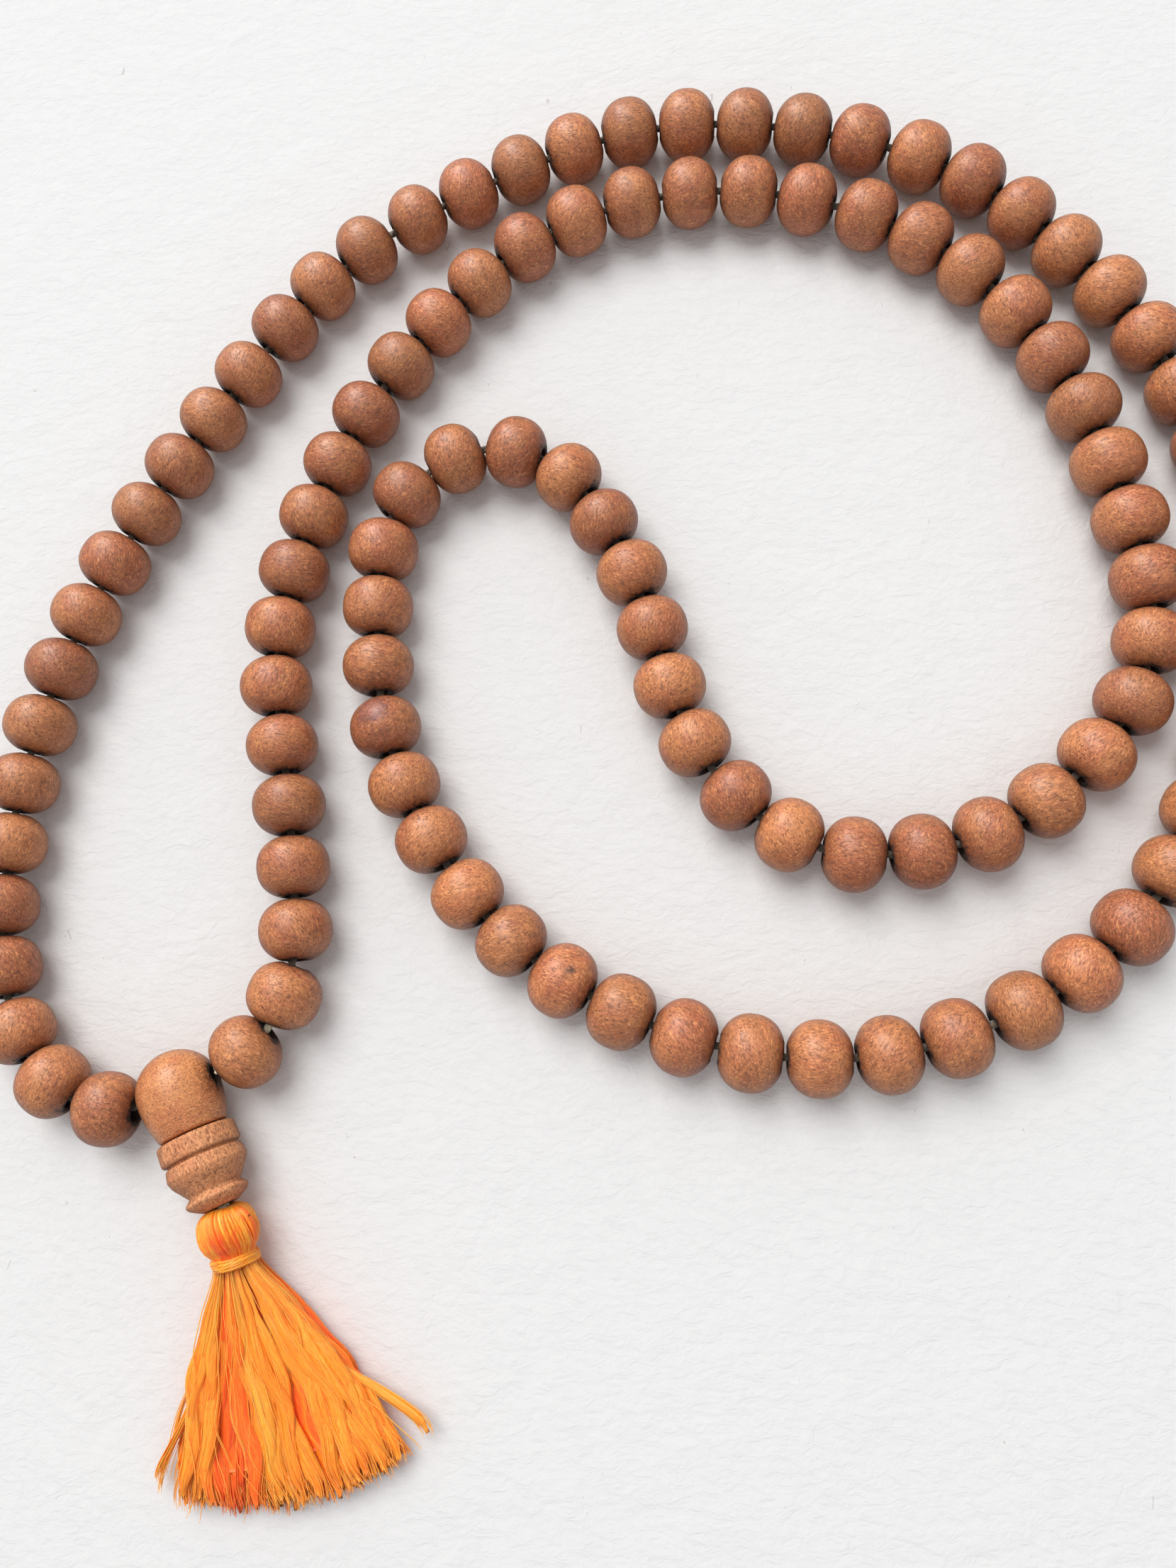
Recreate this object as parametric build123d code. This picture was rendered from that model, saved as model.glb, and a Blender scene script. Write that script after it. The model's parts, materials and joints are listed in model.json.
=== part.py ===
from build123d import *
import os
from math import acos, asin, cos, degrees, pi, radians, sin, sqrt, tan

# Mala: 108 turned wooden beads, a three-hole guru bead, a turned tower bead and a silk tassel,
# laid down flat in one folded loop. Millimetres, +Z up, the table at Z = 0, the origin under the
# middle of the laid object. Every third bead ends a piece of the strand.

# Beads
BEAD_R = 3.88  # across the cord
SIDE_R, CAP_R = 3.1, 4.8  # the turned side and the flatter ends curve at these radii
BORE_R = 0.95
RIM_R = 1.2  # outer edge of the worn chamfer round a hole
RIM_DEPTH = 0.22
CAP_DROP = sqrt((CAP_R - SIDE_R) ** 2 - (BEAD_R - SIDE_R) ** 2)  # an end's centre, past the middle
BEAD_HALF = sqrt(CAP_R**2 - RIM_R**2) - CAP_DROP  # along the cord, to the rim of the hole
BEADS = 108
PER_NODE = 3
HINGE_GAP = 0.3  # extra slack in the strand where a run folds
ROOM_PER_TURN = 1.05  # extra pitch, mm per radian squared between two neighbouring beads
GURU_GAP = 0.5  # between the guru bead and the beads beside it

# Cord
CORD_R = 0.45
JOINT_PLAY = 0.05  # round a ball end in its socket
END_SHORT = 0.06  # each end of the strand stops this far from the middle of the guru
ARC_SHARE = 0.45  # share of the shorter run that a bend's tangent takes

# Route of the cord, one corner for each bend, from the guru round by the left side
ORIGIN_X, ORIGIN_Y = 1.997, 4.519
LEVEL = BEAD_R
GURU_R = 4.25
ROUTE = [
    (-49.9, -35.0), (-60.6, -26.8), (-63.9, -13.0), (-62.4, 4.0), (-57.0, 21.5), (-46.5, 39.8),
    (-29.5, 63.6), (-10.5, 73.2), (6.0, 78.9), (24.5, 77.3), (43.0, 70.0), (57.8, 53.2),
    (65.2, 38.5), (68.2, 20.5), (64.2, 3.0), (57.4, -12.0), (45.5, -22.6), (30.0, -28.4),
    (12.3, -27.6), (-4.5, -19.8), (-14.6, -9.6), (-22.3, 5.5), (-23.4, 20.5), (-22.4, 33.0),
    (-12.5, 39.6), (-2.6, 36.5), (5.2, 23.5), (10.0, 5.0), (17.5, -4.6), (27.0, -8.7),
    (42.0, -6.5), (54.2, 4.0), (59.0, 15.5), (56.6, 28.5), (52.3, 43.5), (44.0, 56.4),
    (33.5, 64.5), (18.5, 69.6), (4.5, 69.0), (-7.5, 64.3), (-18.5, 53.8), (-26.8, 42.0),
    (-32.2, 28.5), (-35.0, 15.0), (-31.8, -2.5), (-30.2, -19.5), (-34.2, -27.6),
]

# Runs of three-bead pieces that fold up off the table about the line between their two ends
RUNS = [
    ("left", 2, 5), ("top", 7, 9), ("right", 12, 14), ("lower", 16, 18), ("lobe", 20, 23),
    ("inner_right", 26, 28), ("inner_top", 30, 32),
]
TURN_ROOM = 0.34  # how far a hole may shift sideways on the cord as its piece turns
LEAST_TURN, MOST_TURN, TURN_STEP = 15, 40, 5  # degrees

# Guru bead, distances down the pendant from the strand
GURU_END, GURU_END_R = 4.45, 3.4
GURU_DOWN_R = 0.85  # the hole down to the tower is drilled a little smaller
OVERSHOOT = 0.5  # how far a drill passes a face

# Tower bead: (radius, distance down the pendant)
TOWER_TOP, TOWER_END = 4.6, 12.3
COLLAR_R, COLLAR_END = 4.05, 6.75
GROOVE_R, GROOVE_END = 3.55, 7.0
TIER_TOP_R, TIER_R, TIER_WIDEST = 3.8, 4.08, 8.2
TIER_SHOULDER = (3.85, 8.8)
WAIST_R, WAIST = 2.6, 10.45
DISC_R, DISC_WIDEST = 3.2, 11.15
TOWER_END_R = 1.7
DISC_START, DISC_FINISH = (1, -0.1), (-1, -0.35)  # the disc's outline heads this way at its ends
EDGE_ROUND = 0.22

# Tassel, distances along it from the knot
KNOT_R, KNOT_SEAT_R, KNOT_DOWN = 0.8, 0.95, 12.55
TASSEL_HEADING, TASSEL_DROP = 16.0, 7.0  # degrees from the -Y axis, and below level
HEAD_R, HEAD_TOP, HEAD_MID, HEAD_END = 3.05, 0.25, 2.55, 4.5
HEAD_FINISH = (-0.6, -1)  # the head's outline heads this way into the neck
NECK_R, NECK_END = 2.05, 5.6
BAND_IN, BAND_R, BAND_START = 2.1, 2.45, 4.55
TIE_LENGTH = 3.0
SKIRT = [  # (along the tassel, half width, half thickness, height of its middle)
    (6.1, 2.35, 2.3, 3.4), (9.0, 4.4, 2.75, 3.1), (14.5, 7.1, 2.5, 2.7),
    (21.5, 10.0, 2.1, 2.26), (28.5, 11.9, 1.75, 1.9),
]


def corners():
    """The route's corners in the part's frame, raised a little at the larger guru bead."""
    last = len(ROUTE) - 1
    return [
        Vector(x - ORIGIN_X, y - ORIGIN_Y, GURU_R if i in (0, last) else LEVEL)
        for i, (x, y) in enumerate(ROUTE)
    ]


def strand_route():
    """The whole cord's centre line, starting and ending in the middle of the guru bead."""
    points = corners()
    radii = []
    for i, at in enumerate(points):
        before, after = at - points[i - 1], points[(i + 1) % len(points)] - at
        half_turn = radians(before.get_angle(after)) / 2
        radii.append(ARC_SHARE * min(before.length, after.length) / tan(half_turn))
    guru = (points[0] + points[-1]) * 0.5
    short = (points[0] - points[-1]).normalized() * END_SHORT
    points = [guru + short] + points + [guru - short]
    print("bend radii", [round(r, 1) for r in radii])
    return FilletPolyline(*points, radius=radii), guru


def at_length(route, length):
    """Point on the route at this distance along it."""
    return route.position_at(length, position_mode=PositionMode.LENGTH)


def heading_at(route, length):
    """The cord's direction at this distance along it."""
    return route.tangent_at(length, position_mode=PositionMode.LENGTH)


def bead_distances(route):
    """Distance along the cord of each bead's middle, and of the slack after each bead."""
    folds = {PER_NODE * (first - 1) for _, first, _ in RUNS}
    folds |= {PER_NODE * last for _, _, last in RUNS}
    first = GURU_R + BEAD_HALF + GURU_GAP
    span = route.length - 2 * first
    even = span / (BEADS - 1)
    turns = [
        radians(heading_at(route, first + i * even).get_angle(
            heading_at(route, first + (i + 1) * even)))
        for i in range(BEADS - 1)
    ]
    extra = [
        ROOM_PER_TURN * turn**2 + (HINGE_GAP if i + 1 in folds else 0)
        for i, turn in enumerate(turns)
    ]
    pitch = (span - sum(extra)) / (BEADS - 1)
    print("cord length", round(route.length, 1), "pitch", round(pitch, 3))
    middles, slacks = [first], []
    for more in extra:
        slacks.append(middles[-1] + (pitch + more) / 2)
        middles.append(middles[-1] + pitch + more)
    return middles, slacks


def bead_plane(route, middle):
    """A bead's place: centred so that a bent cord stays clear of its straight hole."""
    low, high = (at_length(route, middle + d) for d in (-BEAD_HALF, BEAD_HALF))
    centre = (low + high) * 0.25 + at_length(route, middle) * 0.5
    return Plane(origin=centre, z_dir=high - low)


def revolved(points_or_edges):
    """Solid of revolution about Z from edges drawn in the XZ plane."""
    return revolve(make_face(points_or_edges), Axis.Z)


def bead():
    """One bead about Z: a round side, flatter ends, a drilled hole and worn rims."""
    meet = degrees(acos((BEAD_R - SIDE_R) / (CAP_R - SIDE_R)))
    rim = degrees(acos(RIM_R / CAP_R))
    wall_z = BEAD_HALF - RIM_DEPTH
    side = CenterArc((BEAD_R - SIDE_R, 0), SIDE_R, -meet, 2 * meet)
    upper = CenterArc((0, -CAP_DROP), CAP_R, meet, rim - meet)
    lower = CenterArc((0, CAP_DROP), CAP_R, -rim, rim - meet)
    inside = Polyline(
        (RIM_R, BEAD_HALF), (BORE_R, wall_z), (BORE_R, -wall_z), (RIM_R, -BEAD_HALF))
    return revolved(Plane.XZ * (side + upper + lower + inside))


def tube(path):
    """A round cord along a path."""
    start = Plane(origin=path @ 0, z_dir=path % 0)
    return sweep(start * Circle(CORD_R), path=path)


def cord_piece(route, start, end, ball_ends):
    """The cord between two distances: ball ends on a folding run, sockets on a laid one."""
    total = route.length
    path = route.trim(start / total, end / total)
    cord = tube(path)
    told = round(cord.volume / (CORD_R**2 * pi * path.length), 4)
    for place in (start, end):
        if 0 < place < total:
            at = Pos(at_length(route, place))
            if ball_ends:
                cord += at * Sphere(CORD_R)
            else:
                cord -= at * Sphere(CORD_R + JOINT_PLAY)
    return cord, told


def save(solid, name):
    """Writes one node and keeps its label."""
    solid.label = name
    export_step(solid, f"parts/{name}.step")


def tell(kind, name, *values):
    """Prints one line about a joint, in millimetres and degrees."""
    print(kind, name, *(round(float(v), 5) for v in values))


def node_name(index):
    """Name of the three-bead piece with this number, counted from 1."""
    return f"beads_{PER_NODE * index - 2:03d}_{PER_NODE * index:03d}"


def make_beads(route, middles):
    """Every three-bead piece, with the range it can turn through on its cord."""
    one = bead()
    for index in range(1, BEADS // PER_NODE + 1):
        mine = middles[PER_NODE * (index - 1):PER_NODE * index]
        planes = [bead_plane(route, middle) for middle in mine]
        save(Compound([(plane * one).solid() for plane in planes]), node_name(index))
        centre = sum((plane.origin for plane in planes), Vector()) * (1 / PER_NODE)
        along = (planes[-1].origin - planes[0].origin).normalized()
        outer = [
            planes[0].origin - planes[0].z_dir * BEAD_HALF,
            planes[1].origin,
            planes[-1].origin + planes[-1].z_dir * BEAD_HALF,
        ]
        off = max((point - centre).cross(along).length for point in outer)
        turn = 2 * degrees(asin(min(1, TURN_ROOM / (2 * off))))
        turn = min(MOST_TURN, TURN_STEP * int(turn / TURN_STEP))
        if turn >= LEAST_TURN:
            tell("turn", node_name(index), *centre, *along, turn)


def make_cords(route, slacks):
    """The cord in its folding runs and in the laid lengths between them."""
    laid_from = 0
    for name, first, last in RUNS:
        start, end = slacks[PER_NODE * (first - 1) - 1], slacks[PER_NODE * last - 1]
        for piece, low, high, ball in (
            (f"cord_laid_{name}", laid_from, start, False), (f"cord_{name}", start, end, True),
        ):
            cord, told = cord_piece(route, low, high, ball)
            save(cord, piece)
            print("cord", piece, round(high - low, 1), "mm, volume over section x length", told)
        low, high = at_length(route, start), at_length(route, end)
        middle = at_length(route, (start + end) / 2)
        axis = (high - low).normalized()
        if axis.cross(middle - low).Z < 0:
            axis = axis * -1
        tell("lift", name, *low, *axis)
        laid_from = end
    cord, told = cord_piece(route, laid_from, route.length, False)
    save(cord, "cord_laid_guru")
    print("cord cord_laid_guru", round(route.length - laid_from, 1), "mm,", told)


def down(length, radius):
    """A profile point: this far down the pendant, this far from its axis."""
    return (radius, -length)


def make_guru(pendant):
    """The three-hole bead: a cross hole for the strand and one down to the tower."""
    dome = CenterArc((0, 0), GURU_R, start_angle=0, arc_size=90)
    side = TangentArc(down(0, GURU_R), down(GURU_END, GURU_END_R), tangent=(0, -1))
    base = Polyline(down(GURU_END, GURU_END_R), down(GURU_END, 0), (0, GURU_R))
    guru = revolved(Plane.XZ * (dome + side + base))
    guru = fillet(guru.edges().filter_by(GeomType.CIRCLE).sort_by(Axis.Z)[0], EDGE_ROUND * 2)
    guru -= Rot(Y=90) * Cylinder(BORE_R, 4 * GURU_R)
    guru -= Pos(0, 0, -GURU_END / 2 - OVERSHOOT) * Cylinder(GURU_DOWN_R, GURU_END + 2 * OVERSHOOT)
    for turn in (-90, 90):
        mouth = Pos(0, 0, GURU_R - RIM_DEPTH) * Cone(BORE_R - RIM_DEPTH, RIM_R + RIM_DEPTH, RIM_DEPTH * 3)
        guru -= Rot(Y=turn) * mouth
    save(pendant * guru, "guru_bead")


def make_tower(pendant):
    """The turned bead under the guru: a collar, a tapering tier and a thin disc."""
    profile = Polyline(
        down(TOWER_TOP, BORE_R), down(TOWER_TOP, COLLAR_R - EDGE_ROUND),
        down(TOWER_TOP + EDGE_ROUND, COLLAR_R), down(COLLAR_END - EDGE_ROUND, COLLAR_R),
        down(COLLAR_END, COLLAR_R - EDGE_ROUND), down(COLLAR_END, GROOVE_R),
        down(GROOVE_END, GROOVE_R), down(GROOVE_END, TIER_TOP_R - EDGE_ROUND),
        down(GROOVE_END + EDGE_ROUND, TIER_TOP_R),
    )
    tier = Spline(
        down(GROOVE_END + EDGE_ROUND, TIER_TOP_R), down(TIER_WIDEST, TIER_R),
        down(TIER_SHOULDER[1], TIER_SHOULDER[0]), down(WAIST, WAIST_R),
    )
    disc = Spline(
        down(WAIST, WAIST_R), down(DISC_WIDEST, DISC_R), down(TOWER_END, TOWER_END_R),
        tangents=[DISC_START, DISC_FINISH],
    )
    bore = Polyline(
        down(TOWER_END, TOWER_END_R), down(TOWER_END, BORE_R), down(TOWER_TOP, BORE_R))
    save(pendant * revolved(Plane.XZ * (profile + tier + disc + bore)), "tower_bead")


def make_pendant_cord(pendant):
    """The two strand ends, drawn as one cord down to the knot, and the knot itself."""
    top, end = CORD_R + 0.1, KNOT_DOWN - KNOT_R - JOINT_PLAY
    cord = Pos(0, 0, -(top + end) / 2) * Cylinder(CORD_R, end - top)
    save(pendant * cord, "pendant_cord")
    save(pendant * Pos(0, 0, -KNOT_DOWN) * Sphere(KNOT_R), "pendant_knot")


def make_tassel(tassel):
    """The folded silk bundle: head, the band round its neck, its tie and its skirt."""
    dome = Spline(
        down(HEAD_TOP, 0), down(HEAD_MID, HEAD_R), down(HEAD_END, NECK_R),
        tangents=[(1, 0), HEAD_FINISH],
    )
    rest = Polyline(
        down(HEAD_END, NECK_R), down(NECK_END, NECK_R), down(NECK_END, 0), down(HEAD_TOP, 0))
    head = revolved(Plane.XZ * (dome + rest))
    tie_top = KNOT_R + JOINT_PLAY
    tie = Pos(0, 0, -tie_top - TIE_LENGTH / 2) * Cylinder(CORD_R, TIE_LENGTH)
    head -= Sphere(KNOT_SEAT_R)
    head -= Pos(0, 0, -(tie_top + TIE_LENGTH) / 2) * Cylinder(
        CORD_R + JOINT_PLAY, tie_top + TIE_LENGTH + 2 * JOINT_PLAY)
    band_mid = (BAND_START + NECK_END) / 2
    band_width = NECK_END - BAND_START
    band = Cylinder(BAND_R, band_width) - Cylinder(BAND_IN, band_width)
    band = fillet(band.edges().filter_by(GeomType.CIRCLE).sort_by(SortBy.RADIUS)[-2:], EDGE_ROUND)
    save(tassel * head, "tassel_head")
    save(tassel * tie, "tassel_tie")
    save(tassel * Pos(0, 0, -band_mid) * band, "tassel_neck_band")


def make_skirt(knot):
    """The loose silk below the neck, one closed solid that lies flat on the table."""
    heading = Vector(sin(radians(TASSEL_HEADING)), -cos(radians(TASSEL_HEADING)), 0)
    slope = cos(radians(TASSEL_DROP))
    sections = []
    for along, wide, thick, height in SKIRT:
        middle = knot + heading * (along * slope)
        place = Plane(
            origin=(middle.X, middle.Y, height), x_dir=heading.cross(Vector(0, 0, 1)),
            z_dir=heading,
        )
        sections.append(place * Ellipse(wide, thick))
    save(loft(sections), "tassel_skirt")


def make_pendant(guru):
    """Guru, tower and tassel, hung from the strand and laid down beside it."""
    points = corners()
    across = (points[0] - points[-1]).normalized()
    out = across.cross(Vector(0, 0, 1)) * -1
    pendant = Location(Plane(origin=guru, x_dir=across, z_dir=out * -1))
    make_guru(pendant)
    make_tower(pendant)
    make_pendant_cord(pendant)
    knot = guru + out * KNOT_DOWN
    lean, drop = radians(TASSEL_HEADING), radians(TASSEL_DROP)
    along = Vector(sin(lean) * cos(drop), -cos(lean) * cos(drop), -sin(drop))
    sideways = Vector(0, 0, 1).cross(along).normalized()
    make_tassel(Location(Plane(origin=knot, x_dir=sideways, z_dir=along * -1)))
    make_skirt(knot)
    tell("guru", "tilt", *guru, *across)
    tell("tower", "spin", *guru, *out)
    tell("knot", "swing", *knot, 0, 0, 1)
    tell("tassel", "lift", *knot, *(sideways * -1))


def main():
    os.makedirs("parts", exist_ok=True)
    route, guru = strand_route()
    middles, slacks = bead_distances(route)
    make_beads(route, middles)
    make_cords(route, slacks)
    make_pendant(guru)


main()
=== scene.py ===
"""A mala of 108 turned beads with its guru bead, tower bead and silk tassel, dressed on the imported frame."""

import json
import logging
import math
from collections.abc import Callable
from dataclasses import dataclass, field
from enum import Enum

import bpy
import numpy as np
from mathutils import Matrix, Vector, noise


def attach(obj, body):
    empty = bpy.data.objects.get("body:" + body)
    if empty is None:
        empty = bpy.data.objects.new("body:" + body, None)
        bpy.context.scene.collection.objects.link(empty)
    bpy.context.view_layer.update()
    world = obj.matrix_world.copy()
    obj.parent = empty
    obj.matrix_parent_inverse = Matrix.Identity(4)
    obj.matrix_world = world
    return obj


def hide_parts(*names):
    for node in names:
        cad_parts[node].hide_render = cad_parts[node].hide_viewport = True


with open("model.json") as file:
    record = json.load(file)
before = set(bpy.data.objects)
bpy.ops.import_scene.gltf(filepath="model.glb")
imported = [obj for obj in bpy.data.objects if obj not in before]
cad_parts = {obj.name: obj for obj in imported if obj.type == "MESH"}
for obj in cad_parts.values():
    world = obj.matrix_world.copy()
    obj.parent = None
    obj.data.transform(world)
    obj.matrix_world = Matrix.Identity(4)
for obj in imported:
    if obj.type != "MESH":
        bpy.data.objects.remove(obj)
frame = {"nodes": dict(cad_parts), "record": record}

log = logging.getLogger("mala")
MM = 0.001
SEED = 108
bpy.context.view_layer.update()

Colour = tuple[float, float, float]
Stops = tuple[tuple[float, Colour], ...]


class Slot(Enum):
    """The record's material slots."""

    BEAD = "bead_wood"
    BEAD_RED = "bead_wood_red"
    BEAD_TAN = "bead_wood_tan"
    GURU = "guru_wood"
    TOWER = "tower_wood"
    THREAD = "strand_thread"
    SILK = "silk"
    SILK_DEEP = "silk_deep"


class Blemish(Enum):
    """A natural mark in the wood of one bead."""

    NONE = 0.0
    KNOT = 1.0
    STAIN = 2.0
    DASH = 3.0
    PIT = 4.0


def unit(vectors: np.ndarray) -> np.ndarray:
    """Vectors scaled to length 1.

    Args:
        vectors: Array whose last axis holds x, y and z.

    Returns:
        An array of the same shape.
    """
    length = np.linalg.norm(vectors, axis=-1, keepdims=True)
    return vectors / np.maximum(length, 1e-12)


def ease(values: np.ndarray, low: float, high: float) -> np.ndarray:
    """A smooth rise from 0 at low to 1 at high.

    Args:
        values: The values to grade.
        low: Where the rise starts.
        high: Where it ends.

    Returns:
        Numbers from 0 to 1.
    """
    share = np.clip((values - low) / (high - low), 0.0, 1.0)
    return share * share * (3.0 - 2.0 * share)


def node_bodies() -> dict[str, str]:
    """The body that each CAD node rides on."""
    groups = frame["record"]["behaviour"]["bodies"]
    return {name: body for body, names in groups.items() for name in names}


class Board:
    """One material's shader nodes, wired to a Principled shader."""

    def __init__(self, name: str) -> None:
        """Starts a material with that name."""
        self.material = bpy.data.materials.new(name)
        self.material.use_nodes = True
        self.tree = self.material.node_tree
        self.shader = self.tree.nodes["Principled BSDF"]

    def node(self, kind: str, feeds: dict | None = None, **settings: object) -> bpy.types.Node:
        """Adds a node.

        Args:
            kind: The node's type, without its ShaderNode prefix.
            feeds: Values or sockets for its inputs, by name or number.
            **settings: The node's own properties.

        Returns:
            The node.
        """
        made = self.tree.nodes.new("ShaderNode" + kind)
        for key, value in settings.items():
            setattr(made, key, value)
        for key, value in (feeds or {}).items():
            self.feed(made.inputs[key], value)
        return made

    def feed(self, socket: bpy.types.NodeSocket, value: object) -> None:
        """Links a socket to an input, or sets the input's own value."""
        if isinstance(value, bpy.types.NodeSocket):
            self.tree.links.new(value, socket)
        else:
            socket.default_value = value

    def attribute(self, name: str) -> bpy.types.Node:
        """Reads a value that the mesh carries."""
        return self.node("Attribute", attribute_name=name)

    def maths(self, operation: str, *values: object) -> bpy.types.NodeSocket:
        """A number worked out from others."""
        return self.node("Math", dict(enumerate(values)), operation=operation).outputs[0]

    def scaled(self, vector: bpy.types.NodeSocket, by: Colour,
               shift: Colour = (0, 0, 0)) -> bpy.types.NodeSocket:
        """A vector multiplied and moved, axis by axis.

        Args:
            vector: The vector.
            by: What each axis is multiplied by.
            shift: What is added after.

        Returns:
            The new vector's socket.
        """
        feeds = {0: vector, 1: by, 2: shift}
        return self.node("VectorMath", feeds, operation="MULTIPLY_ADD").outputs[0]

    def noise(self, vector: bpy.types.NodeSocket, detail: float, rough: float, twist: float = 0.0,
              scale: float = 1.0) -> bpy.types.NodeSocket:
        """Cloudy noise over a vector.

        Args:
            vector: Where it is read.
            detail: How many octaves it has.
            rough: How strong the small octaves are.
            twist: How far it is distorted.
            scale: Its frequency.

        Returns:
            A socket with values from 0 to 1.
        """
        feeds = {"Vector": vector, "Scale": scale, "Detail": detail, "Roughness": rough, "Distortion": twist}
        return self.node("TexNoise", feeds).outputs["Fac"]

    def graded(self, value: object, low: float, high: float, start: float = 0.0,
               end: float = 1.0) -> bpy.types.NodeSocket:
        """A value spread smoothly from start to end between low and high.

        Args:
            value: The value's socket.
            low: Where the grade begins.
            high: Where it ends.
            start: The result at low.
            end: The result at high.

        Returns:
            The result's socket.
        """
        feeds = {"Value": value, "From Min": low, "From Max": high, "To Min": start, "To Max": end}
        return self.node("MapRange", feeds, interpolation_type="SMOOTHSTEP").outputs[0]

    def mixed(self, share: object, under: object, over: object, blend: str = "MIX") -> bpy.types.NodeSocket:
        """Two colours mixed.

        Args:
            share: How much of the second shows.
            under: The first colour.
            over: The second colour.
            blend: How the two are put together.

        Returns:
            The colour's socket.
        """
        made = self.node("Mix", data_type="RGBA", blend_type=blend)
        self.feed(made.inputs[0], share)
        for socket, colour in ((made.inputs[6], under), (made.inputs[7], over)):
            self.feed(socket, (*colour, 1.0) if isinstance(colour, tuple) else colour)
        return made.outputs[2]

    def ramp(self, value: bpy.types.NodeSocket, stops: Stops) -> bpy.types.NodeSocket:
        """A colour looked up along a row of stops.

        Args:
            value: Where along the row.
            stops: Places from 0 to 1 and their colours.

        Returns:
            The colour's socket.
        """
        made = self.node("ValToRGB", {0: value})
        row = made.color_ramp.elements
        while len(row) < len(stops):
            row.new(0.5)
        for spot, (place, colour) in zip(row, stops):
            spot.position = place
            spot.color = (*colour, 1.0)
        return made.outputs[0]

    def bump(self, height: bpy.types.NodeSocket, depth: float, strength: float = 1.0) -> None:
        """Gives the shader a relief, depth in millimetres."""
        feeds = {"Height": height, "Distance": depth * MM, "Strength": strength}
        self.feed(self.shader.inputs["Normal"], self.node("Bump", feeds).outputs[0])

    def set(self, **values: object) -> None:
        """Sets the shader's own sockets, named with underscores for spaces."""
        for key, value in values.items():
            self.feed(self.shader.inputs[key.replace("_", " ")], value)


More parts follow.
